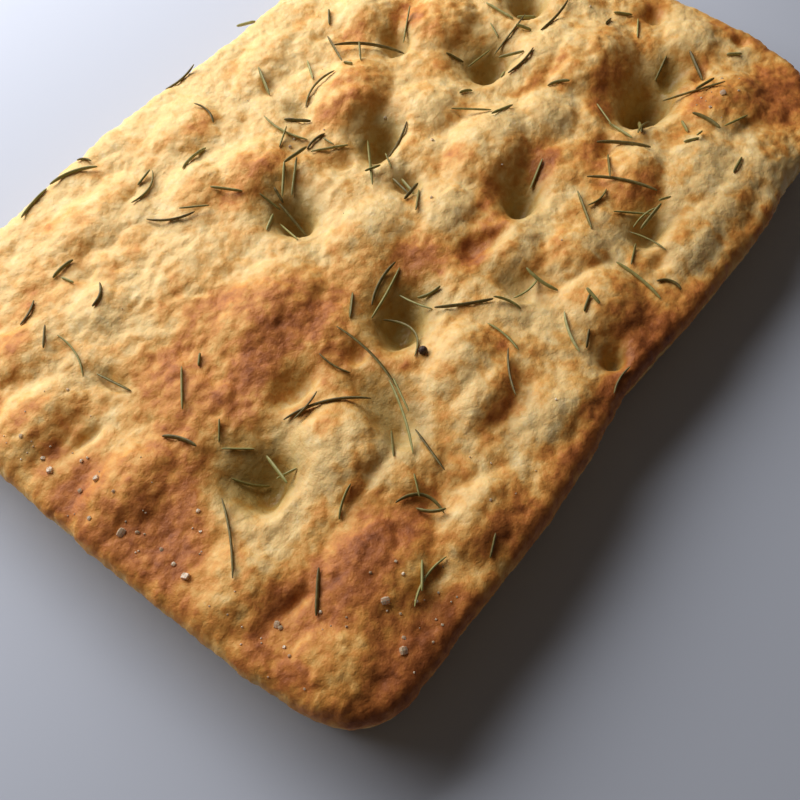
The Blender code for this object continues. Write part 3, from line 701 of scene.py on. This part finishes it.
@dataclass
class Loaf:
    """The bread: a puffed and dimpled top, steep sides and a flat underside."""

    length: float = 336.0
    width: float = 230.0
    corner_radii: dict[tuple[int, int], float] = field(default_factory=lambda: {
        (-1, -1): 28.0, (1, -1): 50.0, (-1, 1): 34.0, (1, 1): 38.0})
    waist_z: float = 22.5
    shoulder: float = 4.5
    rim_z: float = 26.5
    crown_rise: float = 2.5
    taper: float = 3.0
    foot_inset: float = 3.0
    grid: float = 1.15
    edge_reach: float = 38.0
    cell: float = 25.0
    cell_rise: float = 2.0
    cell_seed: int = 7
    puff_gain: float = 1.5
    puff_blend: float = 1.2
    dimple_reach: float = 1.15
    pit_reach: float = 0.5
    pit_share: float = 0.55
    painted_shade_slope: float = 0.26     # painted shade and light: how much browner a -Y slope is made, and a +Y one paler
    base_toast: float = 0.19
    palest: float = 0.07
    brownest: float = 0.78
    soft_range: float = 0.25    # how far below brownest the browning starts to slow
    end_toast: float = 0.12
    near_toast: float = 0.09
    wall_toast: float = 0.20
    foot_toast: float = 0.14
    under_toast: float = 0.55
    warp: float = 2.2
    side_rows: int = 16
    under_rows: int = 5

    def top_height(self, x: np.ndarray, y: np.ndarray) -> np.ndarray:
        """Height of the top's large relief before the shoulder rolls it down."""
        crown = ((1.0 - np.abs(2 * x / self.length) ** 3)
                 * (1.0 - np.abs(2 * y / self.width) ** 3))
        places = np.column_stack([np.ravel(x), np.ravel(y), np.zeros(np.size(x))])
        x = x + self.warp * space_noise(places, 17.0, 1, 11.0).reshape(np.shape(x))
        y = y + self.warp * space_noise(places, 17.0, 1, 15.0).reshape(np.shape(y))
        puffed = self.cell_rise * cell_domes(x, y, self.cell, self.cell_seed)
        for puff in PUFFS:
            dome = self.puff_gain * puff.amount * (1.0 - oval_reach(x, y, puff) ** 2)
            puffed = soft_max(puffed, dome, self.puff_blend)
        pressed = np.zeros(np.shape(x))
        for dimple in DIMPLES:
            reach = dimple_reach(x, y, dimple)
            bowl = 1.0 - smooth_step(reach, 0.0, self.dimple_reach)
            pit = 1.0 - smooth_step(reach, 0.12 * self.pit_reach, 1.1 * self.pit_reach)
            press = dimple.depth * (bowl + self.pit_share * (pit - bowl))
            pressed = soft_max(pressed, press, self.puff_blend)
        return self.rim_z + self.crown_rise * crown + puffed - pressed

    def plan_places(self, u: np.ndarray, v: np.ndarray) -> tuple[np.ndarray, ...]:
        """Carry points of the plain rectangle into the loaf's rounded plan.

        Args:
            u: Places along the rectangle.
            v: Places across it.

        Returns:
            x, y, distance in from the rim, and the outward direction's x and y.
        """
        half_x, half_y = self.length / 2, self.width / 2

        def spread(inset: np.ndarray) -> np.ndarray:
            """Close the rows up towards the rim, where the shoulder is steep."""
            roll = self.shoulder * (1 - np.cos(math.pi / 2 * inset / self.shoulder))
            return np.where(inset < self.shoulder, roll, inset)

        side_x, side_y = np.where(u >= 0, 1, -1), np.where(v >= 0, 1, -1)
        x = half_x - spread(np.maximum(half_x - np.abs(u), 0))
        y = half_y - spread(np.maximum(half_y - np.abs(v), 0))
        inset = np.minimum(half_x - x, half_y - y)
        radius = np.zeros(x.shape)
        for (sx, sy), corner in self.corner_radii.items():
            radius[(side_x == sx) & (side_y == sy)] = corner
        past_x = np.maximum(x - half_x + radius, 0)
        past_y = np.maximum(y - half_y + radius, 0)
        in_corner = (past_x > 0) & (past_y > 0)
        far = np.hypot(past_x, past_y) + 1e-9
        drawn = np.maximum(past_x, past_y) / far
        nearer_end = half_x - x < half_y - y
        out_x = np.where(in_corner, past_x / far, np.where(nearer_end, 1.0, 0.0)) * side_x
        out_y = np.where(in_corner, past_y / far, np.where(nearer_end, 0.0, 1.0)) * side_y
        x = np.where(in_corner, half_x - radius + past_x * drawn, x) * side_x
        y = np.where(in_corner, half_y - radius + past_y * drawn, y) * side_y
        swell = sum(s.push * np.exp(-((x - s.x) ** 2 + (y - s.y) ** 2) / s.reach ** 2)
                    for s in SWELLS)
        swell = swell * np.maximum(0.0, 1.0 - inset / self.edge_reach) ** 2
        return x + out_x * swell, y + out_y * swell, inset, out_x, out_y

    def surface(self) -> tuple[np.ndarray, list[list[int]], np.ndarray]:
        """Lay out the loaf's plain surface.

        Returns:
            Points in millimetres, faces, and each point's region.
        """
        columns, rows = round(self.length / self.grid) + 1, round(self.width / self.grid) + 1
        v, u = np.meshgrid(np.linspace(-self.width / 2, self.width / 2, rows),
                           np.linspace(-self.length / 2, self.length / 2, columns),
                           indexing="ij")
        x, y, inset, out_x, out_y = self.plan_places(u, v)
        roll = np.sin(np.arccos(1.0 - np.minimum(inset, self.shoulder) / self.shoulder))
        z = self.waist_z + (self.top_height(x, y) - self.waist_z) * roll
        points = [np.stack([x.ravel(), y.ravel(), z.ravel()], 1)]
        region = [np.full(x.size, Skin.TOP.value)]
        index = np.arange(x.size).reshape(rows, columns)
        quads = np.stack([index[:-1, :-1], index[:-1, 1:], index[1:, 1:], index[1:, :-1]], -1)
        faces = quads.reshape(-1, 4).tolist()
        loop = np.concatenate([index[0, :-1], index[:-1, -1], index[-1, :0:-1], index[:0:-1, 0]])
        rim = np.stack([x.ravel()[loop], y.ravel()[loop]], 1)
        out = np.stack([out_x.ravel()[loop], out_y.ravel()[loop]], 1)
        last = loop
        count, steps = len(loop), self.side_rows + self.under_rows
        for step in range(1, steps + 1):
            if step <= self.side_rows:
                down = math.sin(math.pi / 2 * step / self.side_rows)
                level = self.waist_z * (1 - down)
                drawn_in = self.taper * down + self.foot_inset * down ** 8
                skin = Skin.SIDE
            else:
                under = (step - self.side_rows) / self.under_rows
                level, drawn_in = 0.0, self.taper + self.foot_inset + 20.0 * under
                skin = Skin.UNDERSIDE
            ring = np.column_stack([rim - out * drawn_in, np.full(count, level)])
            start = sum(len(p) for p in points)
            points.append(ring)
            region.append(np.full(count, skin.value))
            new = np.arange(start, start + count)
            faces += np.stack([last, new, np.roll(new, -1), np.roll(last, -1)], -1).tolist()
            last = new
        faces.append(last[::-1].tolist())
        return np.concatenate(points), faces, np.concatenate(region)

    def fine_relief(self, points: np.ndarray, region: np.ndarray) -> np.ndarray:
        """How far each point of the crust stands out: lumps, wrinkles and blisters, in mm."""
        bent = points + 1.6 * np.column_stack([
            space_noise(points, 6.0, 2, shift) for shift in (21.0, 27.0, 33.0)])
        strength = 0.75 + 0.45 * space_noise(points, 32.0, 1, 8.0)
        lumps = 0.45 - cell_noise(bent, 14.0) ** 2
        knobs = 0.45 - cell_noise(bent, 7.0, 3.1) ** 2
        beads = 0.45 - cell_noise(bent, 3.4, 7.3) ** 2
        grain = space_noise(points, 2.0, 2, 5.0)
        wrinkled = 1.0 - smooth_step(oval_reach(points[:, 0], points[:, 1],
                                                Oval(-92, 37, 36, 26, 0, 1)), 0.6, 1.2)
        folds = 0.5 - 1.4 * np.abs(space_noise(bent, 5.0, 1, 17.0))
        rise = strength * (1.6 * lumps + 1.2 * knobs + 0.8 * beads) + 0.3 * grain
        rise += 0.7 * wrinkled * folds
        rise *= 1.0 - 0.7 * self.oil_and_pit_shade(points)
        rise[region == Skin.SIDE.value] *= 0.7
        rise *= smooth_step(points[:, 2], 0.2, 3.0)
        return rise

    def oil_and_pit_shade(self, points: np.ndarray) -> np.ndarray:
        """Oil soaked into the dimples, also painted pit shade: 1 on a deep dimple's floor, 0 on
        the crust.
        """
        oil = np.zeros(len(points))
        for dimple in DIMPLES:
            reach = dimple_reach(points[:, 0], points[:, 1], dimple)
            deep = min(1.0, max(0.15, (dimple.depth - 2.5) / 8.0))
            oil = np.maximum(oil, deep * (1.0 - smooth_step(reach, 0.05, 1.0)))
        return oil

    def toast_and_painted_shade(self, points: np.ndarray, region: np.ndarray, rise: np.ndarray,
              normals: np.ndarray) -> np.ndarray:
        """How brown each point is baked, with painted shade and painted light added: slopes facing
        -Y are made browner, slopes facing +Y paler, and some patches stand in for relief that
        differs.

        Args:
            points: Places on the crust, in millimetres.
            region: Which skin each point is on.
            rise: How far each point stands out of the plain surface.
            normals: The way each point faces.

        Returns:
            0 where it is cream, to 1 where it is nearly burnt.
        """
        x, y, z = points.T
        broad = space_noise(points, 24.0, 2, 2.0)
        patchy = smooth_step(space_noise(points, 7.0, 2, 6.0) + 0.25 * rise, -0.45, 0.55) - 0.5
        baked = (self.base_toast - 0.10 * y / (self.width / 2)
                 - 0.09 * np.minimum(x, 0) / (self.length / 2))
        baked += 0.010 * (z - 30.0) + 0.10 * broad + 0.18 * patchy + 0.04 * rise
        # Painted shade and painted light: slopes facing -Y, away from the lamp, are made browner,
        # slopes facing +Y paler.
        baked -= self.painted_shade_slope * normals[:, 1]
        # Browning, and painted shade and painted light, patch by patch.
        for patch in BROWNING_AND_PAINTED_SHADING:
            reach = oval_reach(x, y, patch)
            strength = 1.0 - smooth_step(reach + 0.35 * patchy, 0.2, 1.25)
            baked += patch.amount * strength
        end_band = 1.0 - smooth_step(self.length / 2 + x, 4.0, 40.0)
        near_band = 1.0 - smooth_step(self.width / 2 + y, 2.0, 18.0)
        baked += self.end_toast * end_band + self.near_toast * near_band
        pressed = self.oil_and_pit_shade(points)
        baked = baked * (1.0 - 0.8 * pressed) + 0.05 * pressed
        side = (self.wall_toast + 0.10 * patchy
                + self.foot_toast * (1.0 - smooth_step(z, 0.0, 4.0)))
        low = 1.0 - smooth_step(z, self.waist_z - 4.0, self.waist_z + 5.0)
        baked = baked * (1.0 - low) + side * low
        baked[region == Skin.UNDERSIDE.value] = self.under_toast
        over = np.maximum(baked - self.brownest + self.soft_range, 0.0)
        baked = (np.minimum(baked, self.brownest - self.soft_range)
                 + self.soft_range * (1.0 - np.exp(-over / self.soft_range)))
        return np.clip(baked, self.palest, 1.0)

    def build(self) -> bpy.types.Object:
        """Make the loaf's mesh, with its toast and oil attributes."""
        points, faces, region = self.surface()
        mesh = bpy.data.meshes.new("focaccia_loaf")
        mesh.from_pydata((points * MM).tolist(), [], faces)
        flat_normals = np.empty(len(points) * 3)
        mesh.vertices.foreach_get("normal", flat_normals)
        normals = flat_normals.reshape(-1, 3)
        rise = self.fine_relief(points, region)
        moved = points + normals * rise[:, None]
        moved[:, 2] = np.maximum(moved[:, 2], 0.0)
        mesh.vertices.foreach_set("co", (moved * MM).ravel())
        mesh.update()
        mesh.vertices.foreach_get("normal", flat_normals)
        toast_and_painted_shade = self.toast_and_painted_shade(points, region, rise, flat_normals.reshape(-1, 3))
        for name, values in (("toast_and_painted_shade", toast_and_painted_shade), ("oil", self.oil_and_pit_shade(points))):
            mesh.attributes.new(name, "FLOAT", "POINT").data.foreach_set("value", values)
        mesh.shade_smooth()
        mesh.materials.append(BreadCrust().make())
        piece = plain_piece("focaccia_loaf", mesh)
        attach(piece, BODY)
        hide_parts("loaf")
        LOG.info("loaf: %d faces", len(mesh.polygons))
        return piece


# ---------------------------------------------------------------------------------------------
# What lies on the loaf
# ---------------------------------------------------------------------------------------------

@dataclass
class RosemaryLeaves:
    """The leaves strewn on the dough, each stiff and resting on the crust and on each other."""

    width: float = 1.6
    gap: float = 0.1
    samples: int = 25
    steepest: float = 0.45
    seed: int = 11
    laid: list[Vector] = field(default_factory=list)

    def path(self, leaf: Leaf) -> list[Vector]:
        """Places along a leaf seen from above: a shallow arc from end to end."""
        length = math.hypot(leaf.x1 - leaf.x0, leaf.y1 - leaf.y0)
        side = Vector((leaf.y0 - leaf.y1, leaf.x1 - leaf.x0)) / length
        places = []
        for step in range(self.samples):
            t = step / (self.samples - 1)
            out = 4.0 * leaf.bow * t * (1.0 - t)
            places.append(Vector((leaf.x0 + (leaf.x1 - leaf.x0) * t + side.x * out,
                                  leaf.y0 + (leaf.y1 - leaf.y0) * t + side.y * out)))
        return places

    def support(self, place: Vector, ground: BVHTree) -> float:
        """Height that holds a leaf up at one place."""
        height = -math.inf
        struck = ground.ray_cast(Vector((place.x, place.y, 100.0)) * MM, Vector((0, 0, -1)))[0]
        if struck:
            height = struck.z / MM
        for other in self.laid:
            if abs(other.x - place.x) + abs(other.y - place.y) < 2 * self.width:
                if (other.xy - place).length < self.width:
                    height = max(height, other.z + 0.35 * self.width)
        return height

    def rest(self, supports: Sequence[float], run: float) -> tuple[float, float]:
        """The stiff line that rests on a row of supports under its middle.

        Args:
            supports: Heights under the leaf, evenly spaced.
            run: The distance from one support to the next.

        Returns:
            The line's height at both ends.
        """
        last = len(supports) - 1
        hull: list[tuple[int, float]] = []
        for place, height in enumerate(supports):
            if height == -math.inf:
                continue
            while len(hull) > 1:
                (a, low), (b, mid) = hull[-2], hull[-1]
                if (mid - low) * (place - a) > (height - low) * (b - a):
                    break
                hull.pop()
            hull.append((place, height))
        edges = list(zip(hull, hull[1:]))
        (a, low), (b, high) = next((e for e in edges if e[1][0] >= last / 2), edges[-1])
        steepest = self.steepest * run
        slope = max(-steepest, min(steepest, (high - low) / (b - a)))
        start = max(height - slope * place for place, height in hull)
        return start, start + slope * last

    def centre_lines(self, ground: BVHTree) -> bpy.types.Object:
        """Lay every leaf, and return their centre lines as one mesh of edges."""
        random = np.random.default_rng(self.seed)
        points: list[Vector] = []
        edges: list[tuple[int, int]] = []
        radius: list[float] = []
        tone: list[float] = []
        roll: list[float] = []
        for leaf in LEAVES:
            path = self.path(leaf)
            run = (path[-1] - path[0]).length / (self.samples - 1)
            start, end = self.rest([self.support(place, ground) for place in path], run)
            leaf_tone, leaf_roll = random.uniform(-0.15, 0.45), random.uniform(-0.7, 0.7)
            thick = self.width * random.uniform(0.36, 0.52)
            for step, place in enumerate(path):
                t = step / (self.samples - 1)
                height = start + (end - start) * t + 0.30 * self.width + self.gap
                centre = Vector((place.x, place.y, height))
                self.laid.append(centre)
                if step:
                    edges.append((len(points) - 1, len(points)))
                points.append(centre * MM)
                shape = 0.35 + 0.65 * math.sqrt(min(1.0, 5.0 * min(t, 1.0 - t)))
                radius.append(thick * shape * MM)
                tone.append(leaf_tone)
                roll.append(leaf_roll)
        mesh = bpy.data.meshes.new("leaf_lines")
        mesh.from_pydata(points, edges, [])
        for name, values in (("thickness", radius), ("tone", tone), ("roll", roll)):
            mesh.attributes.new(name, "FLOAT", "POINT").data.foreach_set("value", values)
        return plain_piece("leaf_lines", mesh)

    def sweep_tree(self, finish: bpy.types.Material) -> bpy.types.NodeTree:
        """A geometry tree that sweeps a leaf's grooved section along each centre line."""
        tree = bpy.data.node_groups.new("leaf_sweep", "GeometryNodeTree")
        tree.interface.new_socket("Geometry", in_out="INPUT", socket_type="NodeSocketGeometry")
        tree.interface.new_socket("Geometry", in_out="OUTPUT", socket_type="NodeSocketGeometry")
        tree.interface.new_socket("Flatness", in_out="INPUT", socket_type="NodeSocketFloat")
        tree.interface.new_socket("Groove", in_out="INPUT", socket_type="NodeSocketFloat")
        given = add_node(tree, "NodeGroupInput").outputs
        lines = add_node(tree, "GeometryNodeMeshToCurve", {"Mesh": given["Geometry"]})
        upright = add_node(tree, "GeometryNodeSetCurveNormal", {"Curve": lines.outputs[0]},
                           mode="Z_UP")
        roll = add_node(tree, "GeometryNodeInputNamedAttribute", {"Name": "roll"},
                        data_type="FLOAT")
        rolled = add_node(tree, "GeometryNodeSetCurveTilt", {
            "Curve": upright.outputs[0], "Tilt": roll.outputs["Attribute"]})
        thickness = add_node(tree, "GeometryNodeInputNamedAttribute", {"Name": "thickness"},
                             data_type="FLOAT")
        section = add_node(tree, "GeometryNodeCurvePrimitiveCircle",
                           {"Resolution": 10, "Radius": 1.0})
        flat = add_node(tree, "ShaderNodeCombineXYZ", {
            "X": given["Flatness"], "Y": 1.0, "Z": 1.0})
        flattened = add_node(tree, "GeometryNodeTransform", {
            "Geometry": section.outputs["Curve"], "Scale": flat.outputs[0]})
        place = add_node(tree, "GeometryNodeInputPosition")
        across = add_node(tree, "ShaderNodeSeparateXYZ", {0: place.outputs[0]})
        beside = add_node(tree, "ShaderNodeMath", {0: across.outputs["Y"]}, operation="ABSOLUTE")
        middle = add_node(tree, "ShaderNodeMapRange", {
            "Value": beside.outputs[0], "From Min": 0.0, "From Max": 0.55,
            "To Min": given["Groove"], "To Max": 0.0})
        sunk = add_node(tree, "ShaderNodeCombineXYZ", {"X": middle.outputs["Result"]})
        upper = add_node(tree, "FunctionNodeCompare", {"A": across.outputs["X"], "B": 0.0},
                         data_type="FLOAT", operation="LESS_THAN")
        grooved = add_node(tree, "GeometryNodeSetPosition", {
            "Geometry": flattened.outputs[0], "Selection": upper.outputs[0],
            "Offset": sunk.outputs[0]})
        swept = add_node(tree, "GeometryNodeCurveToMesh", {
            "Curve": rolled.outputs[0], "Profile Curve": grooved.outputs[0],
            "Scale": thickness.outputs["Attribute"], "Fill Caps": True})
        smooth = add_node(tree, "GeometryNodeSetShadeSmooth", {"Geometry": swept.outputs[0]})
        real = add_node(tree, "GeometryNodeRealizeInstances", {"Geometry": smooth.outputs[0]})
        dressed = add_node(tree, "GeometryNodeSetMaterial", {
            "Geometry": real.outputs[0], "Material": finish})
        add_node(tree, "NodeGroupOutput", {"Geometry": dressed.outputs[0]})
        return tree

    def build(self, ground: BVHTree) -> bpy.types.Object:
        """Lay and sweep the leaves, as one mesh."""
        tree = self.sweep_tree(BakedRosemary().make())
        piece = settle("rosemary_leaves", self.centre_lines(ground), tree,
                       {"Flatness": 0.62, "Groove": 0.35})
        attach(piece, BODY)
        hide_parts(*[n for n in sorted(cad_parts) if n.startswith("rosemary_leaf")])
        LOG.info("rosemary: %d leaves, %d faces", len(LEAVES), len(piece.data.polygons))
        return piece


@dataclass
class CoarseSalt:
    """Salt strewn over the loaf: grains of a few sizes, thickest towards the left end."""

    big: float = 2.6
    least: float = 0.5
    most: float = 1.5
    melted: float = 0.7
    seed: int = 5

    def places(self, ground: BVHTree) -> bpy.types.Object:
        """Scatter the grains over their patches, as loose points that know their sizes."""
        random = np.random.default_rng(self.seed)
        points: list[Vector] = []
        sizes: list[float] = []

        def drop(x: float, y: float, size: float) -> None:
            """Let one grain fall on the crust, and sink by a third."""
            struck = ground.ray_cast(Vector((x * MM, y * MM, 0.1)), Vector((0, 0, -1)))[0]
            if struck:
                points.append(struck + Vector((0, 0, 0.12 * size * MM)))
                sizes.append(size * MM)

        for x, y in BIG_GRAINS:
            drop(x, y, self.big * random.uniform(0.85, 1.1))
        for patch in SALTED:
            for _ in range(int(patch.amount)):
                angle, out = random.uniform(0, 2 * math.pi), math.sqrt(random.uniform(0, 1))
                drop(patch.x + patch.half_length * out * math.cos(angle),
                     patch.y + patch.half_width * out * math.sin(angle),
                     self.least + (self.most - self.least) * random.uniform(0, 1) ** 2.2)
        mesh = bpy.data.meshes.new("salt_places")
        mesh.from_pydata(points, [], [])
        mesh.attributes.new("size", "FLOAT", "POINT").data.foreach_set("value", sizes)
        return plain_piece("salt_places", mesh)

    def grain_tree(self, finish: bpy.types.Material) -> bpy.types.NodeTree:
        """A geometry tree that sets a half-melted cube on every point."""
        tree = bpy.data.node_groups.new("salt_grains", "GeometryNodeTree")
        tree.interface.new_socket("Geometry", in_out="INPUT", socket_type="NodeSocketGeometry")
        tree.interface.new_socket("Geometry", in_out="OUTPUT", socket_type="NodeSocketGeometry")
        tree.interface.new_socket("Melted", in_out="INPUT", socket_type="NodeSocketFloat")
        tree.interface.new_socket("Seed", in_out="INPUT", socket_type="NodeSocketInt")
        given = add_node(tree, "NodeGroupInput").outputs
        cube = add_node(tree, "GeometryNodeMeshCube", {
            "Size": (1.0, 1.0, 1.0), "Vertices X": 3, "Vertices Y": 3, "Vertices Z": 3})
        place = add_node(tree, "GeometryNodeInputPosition")
        ball = add_node(tree, "ShaderNodeVectorMath", {0: place.outputs[0]},
                        operation="NORMALIZE")
        ball = add_node(tree, "ShaderNodeVectorMath", {0: ball.outputs[0], "Scale": 0.55},
                        operation="SCALE")
        worn = add_node(tree, "ShaderNodeMix", {
            "Factor": given["Melted"], "A": place.outputs[0], "B": ball.outputs[0]},
            data_type="VECTOR")
        shaped = add_node(tree, "GeometryNodeSetPosition", {
            "Geometry": cube.outputs["Mesh"], "Position": worn.outputs["Result"]})
        size = add_node(tree, "GeometryNodeInputNamedAttribute", {"Name": "size"},
                        data_type="FLOAT")
        turn = add_node(tree, "FunctionNodeRandomValue", {
            "Min": (-0.5, -0.5, 0.0), "Max": (0.5, 0.5, 6.28), "Seed": given["Seed"]},
            data_type="FLOAT_VECTOR")
        shape = add_node(tree, "FunctionNodeRandomValue", {
            "Min": (0.75, 0.75, 0.5), "Max": (1.15, 1.15, 0.9), "Seed": given["Seed"]},
            data_type="FLOAT_VECTOR")
        scale = add_node(tree, "ShaderNodeVectorMath", {
            0: shape.outputs["Value"], "Scale": size.outputs["Attribute"]}, operation="SCALE")
        set_out = add_node(tree, "GeometryNodeInstanceOnPoints", {
            "Points": given["Geometry"], "Instance": shaped.outputs[0],
            "Rotation": turn.outputs["Value"], "Scale": scale.outputs[0]})
        real = add_node(tree, "GeometryNodeRealizeInstances", {"Geometry": set_out.outputs[0]})
        dressed = add_node(tree, "GeometryNodeSetMaterial", {
            "Geometry": real.outputs[0], "Material": finish})
        add_node(tree, "NodeGroupOutput", {"Geometry": dressed.outputs[0]})
        return tree

    def build(self, ground: BVHTree) -> bpy.types.Object:
        """Scatter and shape the grains, as one mesh."""
        tree = self.grain_tree(SaltGrain().make())
        piece = settle("salt_grains", self.places(ground), tree,
                       {"Melted": self.melted, "Seed": self.seed})
        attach(piece, BODY)
        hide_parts(*[n for n in sorted(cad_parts) if n.startswith("salt_crystal")])
        LOG.info("salt: %d faces", len(piece.data.polygons))
        return piece


@dataclass
class Peppercorn:
    """The one peppercorn, dry and wrinkled."""

    x: float = -48.5
    y: float = -48.0
    diameter: float = 3.2
    wrinkle: float = 0.16

    def build(self, ground: BVHTree) -> bpy.types.Object:
        """Wrinkle a ball, and set it on the crust."""
        struck = ground.ray_cast(Vector((self.x * MM, self.y * MM, 0.1)), Vector((0, 0, -1)))[0]
        bpy.ops.mesh.primitive_ico_sphere_add(subdivisions=5, radius=self.diameter / 2)
        piece = bpy.context.object
        piece.name = piece.data.name = "peppercorn_ball"
        for vertex in piece.data.vertices:
            fold = abs(noise.noise(vertex.co * 1.5 + Vector((4, 1, 7))))
            vertex.co *= 1.0 - self.wrinkle * max(0.0, 0.5 - 2.2 * fold)
            vertex.co *= MM
        piece.data.transform(Matrix.Translation(struck + Vector(
            (0, 0, 0.35 * self.diameter * MM))))
        piece.data.materials.append(PepperSkin().make())
        piece.data.shade_smooth()
        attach(piece, BODY)
        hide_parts("peppercorn")
        LOG.info("peppercorn: %d faces", len(piece.data.polygons))
        return piece


# ---------------------------------------------------------------------------------------------
# Studio
# ---------------------------------------------------------------------------------------------

@dataclass
class Studio:
    """Plain pale floor, one soft window-like light from behind, and the camera."""

    camera_place: tuple[float, float, float] = (-0.1871, -0.1444, 0.3072)
    camera_right: tuple[float, float, float] = (0.6092, -0.7930, 0.0001)
    camera_down: tuple[float, float, float] = (-0.6978, -0.5361, -0.4750)
    lens: float = 42.0
    light_place: tuple[float, float, float] = (-0.042, 0.811, 0.432)
    light_turn: float = 22.9
    light_tilt: float = 66.9
    light_size: tuple[float, float] = (1.09, 0.79)
    light_power: float = 16.4
    fill_colour: str = "#E6D2BE"
    fill_strength: float = 0.07
    wall_strength: float = 0.55
    floor_size: float = 3.0

    def floor(self) -> None:
        """A wide flat sheet at the height that the loaf lies on."""
        half = self.floor_size / 2
        mesh = bpy.data.meshes.new("floor")
        mesh.from_pydata([(-half, -half, 0), (half, -half, 0), (half, half, 0),
                          (-half, half, 0)], [], [(0, 1, 2, 3)])
        mesh.materials.append(MattPaper().make())
        plain_piece("floor", mesh)

    def light(self) -> None:
        """A soft key light beyond the far edge, a dim warm fill, and a pale wall to look at."""
        lamp = bpy.data.lights.new("window", "AREA")
        lamp.shape = "RECTANGLE"
        lamp.size, lamp.size_y = self.light_size
        lamp.energy = self.light_power
        lamp.color = (1.0, 0.97, 0.93)
        window = bpy.data.objects.new("window", lamp)
        turn, tilt = math.radians(self.light_turn), math.radians(self.light_tilt)
        aim = Vector((-math.sin(turn) * math.cos(tilt), -math.cos(turn) * math.cos(tilt),
                      -math.sin(tilt)))
        across = Vector((math.cos(turn), -math.sin(turn), 0.0))
        facing = Matrix((across, across.cross(aim), -aim)).transposed().to_4x4()
        window.matrix_world = Matrix.Translation(self.light_place) @ facing
        bpy.context.scene.collection.objects.link(window)
        world = bpy.data.worlds.new("room")
        world.use_nodes = True
        tree = world.node_tree
        fill = tree.nodes["Background"]
        fill.inputs["Color"].default_value = linear_colour(self.fill_colour)
        fill.inputs["Strength"].default_value = self.fill_strength
        wall = add_node(tree, "ShaderNodeBackground", {
            "Color": linear_colour(MattPaper.colour), "Strength": self.wall_strength})
        seen = add_node(tree, "ShaderNodeLightPath").outputs["Is Camera Ray"]
        both = add_node(tree, "ShaderNodeMixShader", {
            0: seen, 1: fill.outputs["Background"], 2: wall.outputs["Background"]})
        tree.links.new(both.outputs["Shader"], tree.nodes["World Output"].inputs["Surface"])
        bpy.context.scene.world = world

    def camera(self) -> None:
        """The camera, high over the near left corner."""
        data = bpy.data.cameras.new("camera")
        data.lens = self.lens
        data.sensor_width = 36.0
        data.clip_start = 0.01
        made = bpy.data.objects.new("camera", data)
        right, up = Vector(self.camera_right), -Vector(self.camera_down)
        turn = Matrix((right, up, right.cross(up))).transposed().normalized()
        made.matrix_world = Matrix.Translation(self.camera_place) @ turn.to_4x4()
        bpy.context.scene.collection.objects.link(made)
        bpy.context.scene.camera = made

    def build(self) -> None:
        """Set up the whole studio."""
        self.floor()
        self.light()
        self.camera()
        bpy.context.scene.view_settings.view_transform = "Standard"


def main() -> None:
    """Build the loaf and what lies on it, and log each piece."""
    logging.basicConfig(level=logging.INFO, format="%(name)s: %(message)s")
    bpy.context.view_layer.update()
    Studio().build()
    loaf = Loaf().build()
    ground = BVHTree.FromPolygons([v.co for v in loaf.data.vertices],
                                  [tuple(p.vertices) for p in loaf.data.polygons])
    RosemaryLeaves().build(ground)
    CoarseSalt().build(ground)
    Peppercorn().build(ground)


if __name__ == "__main__":
    main()
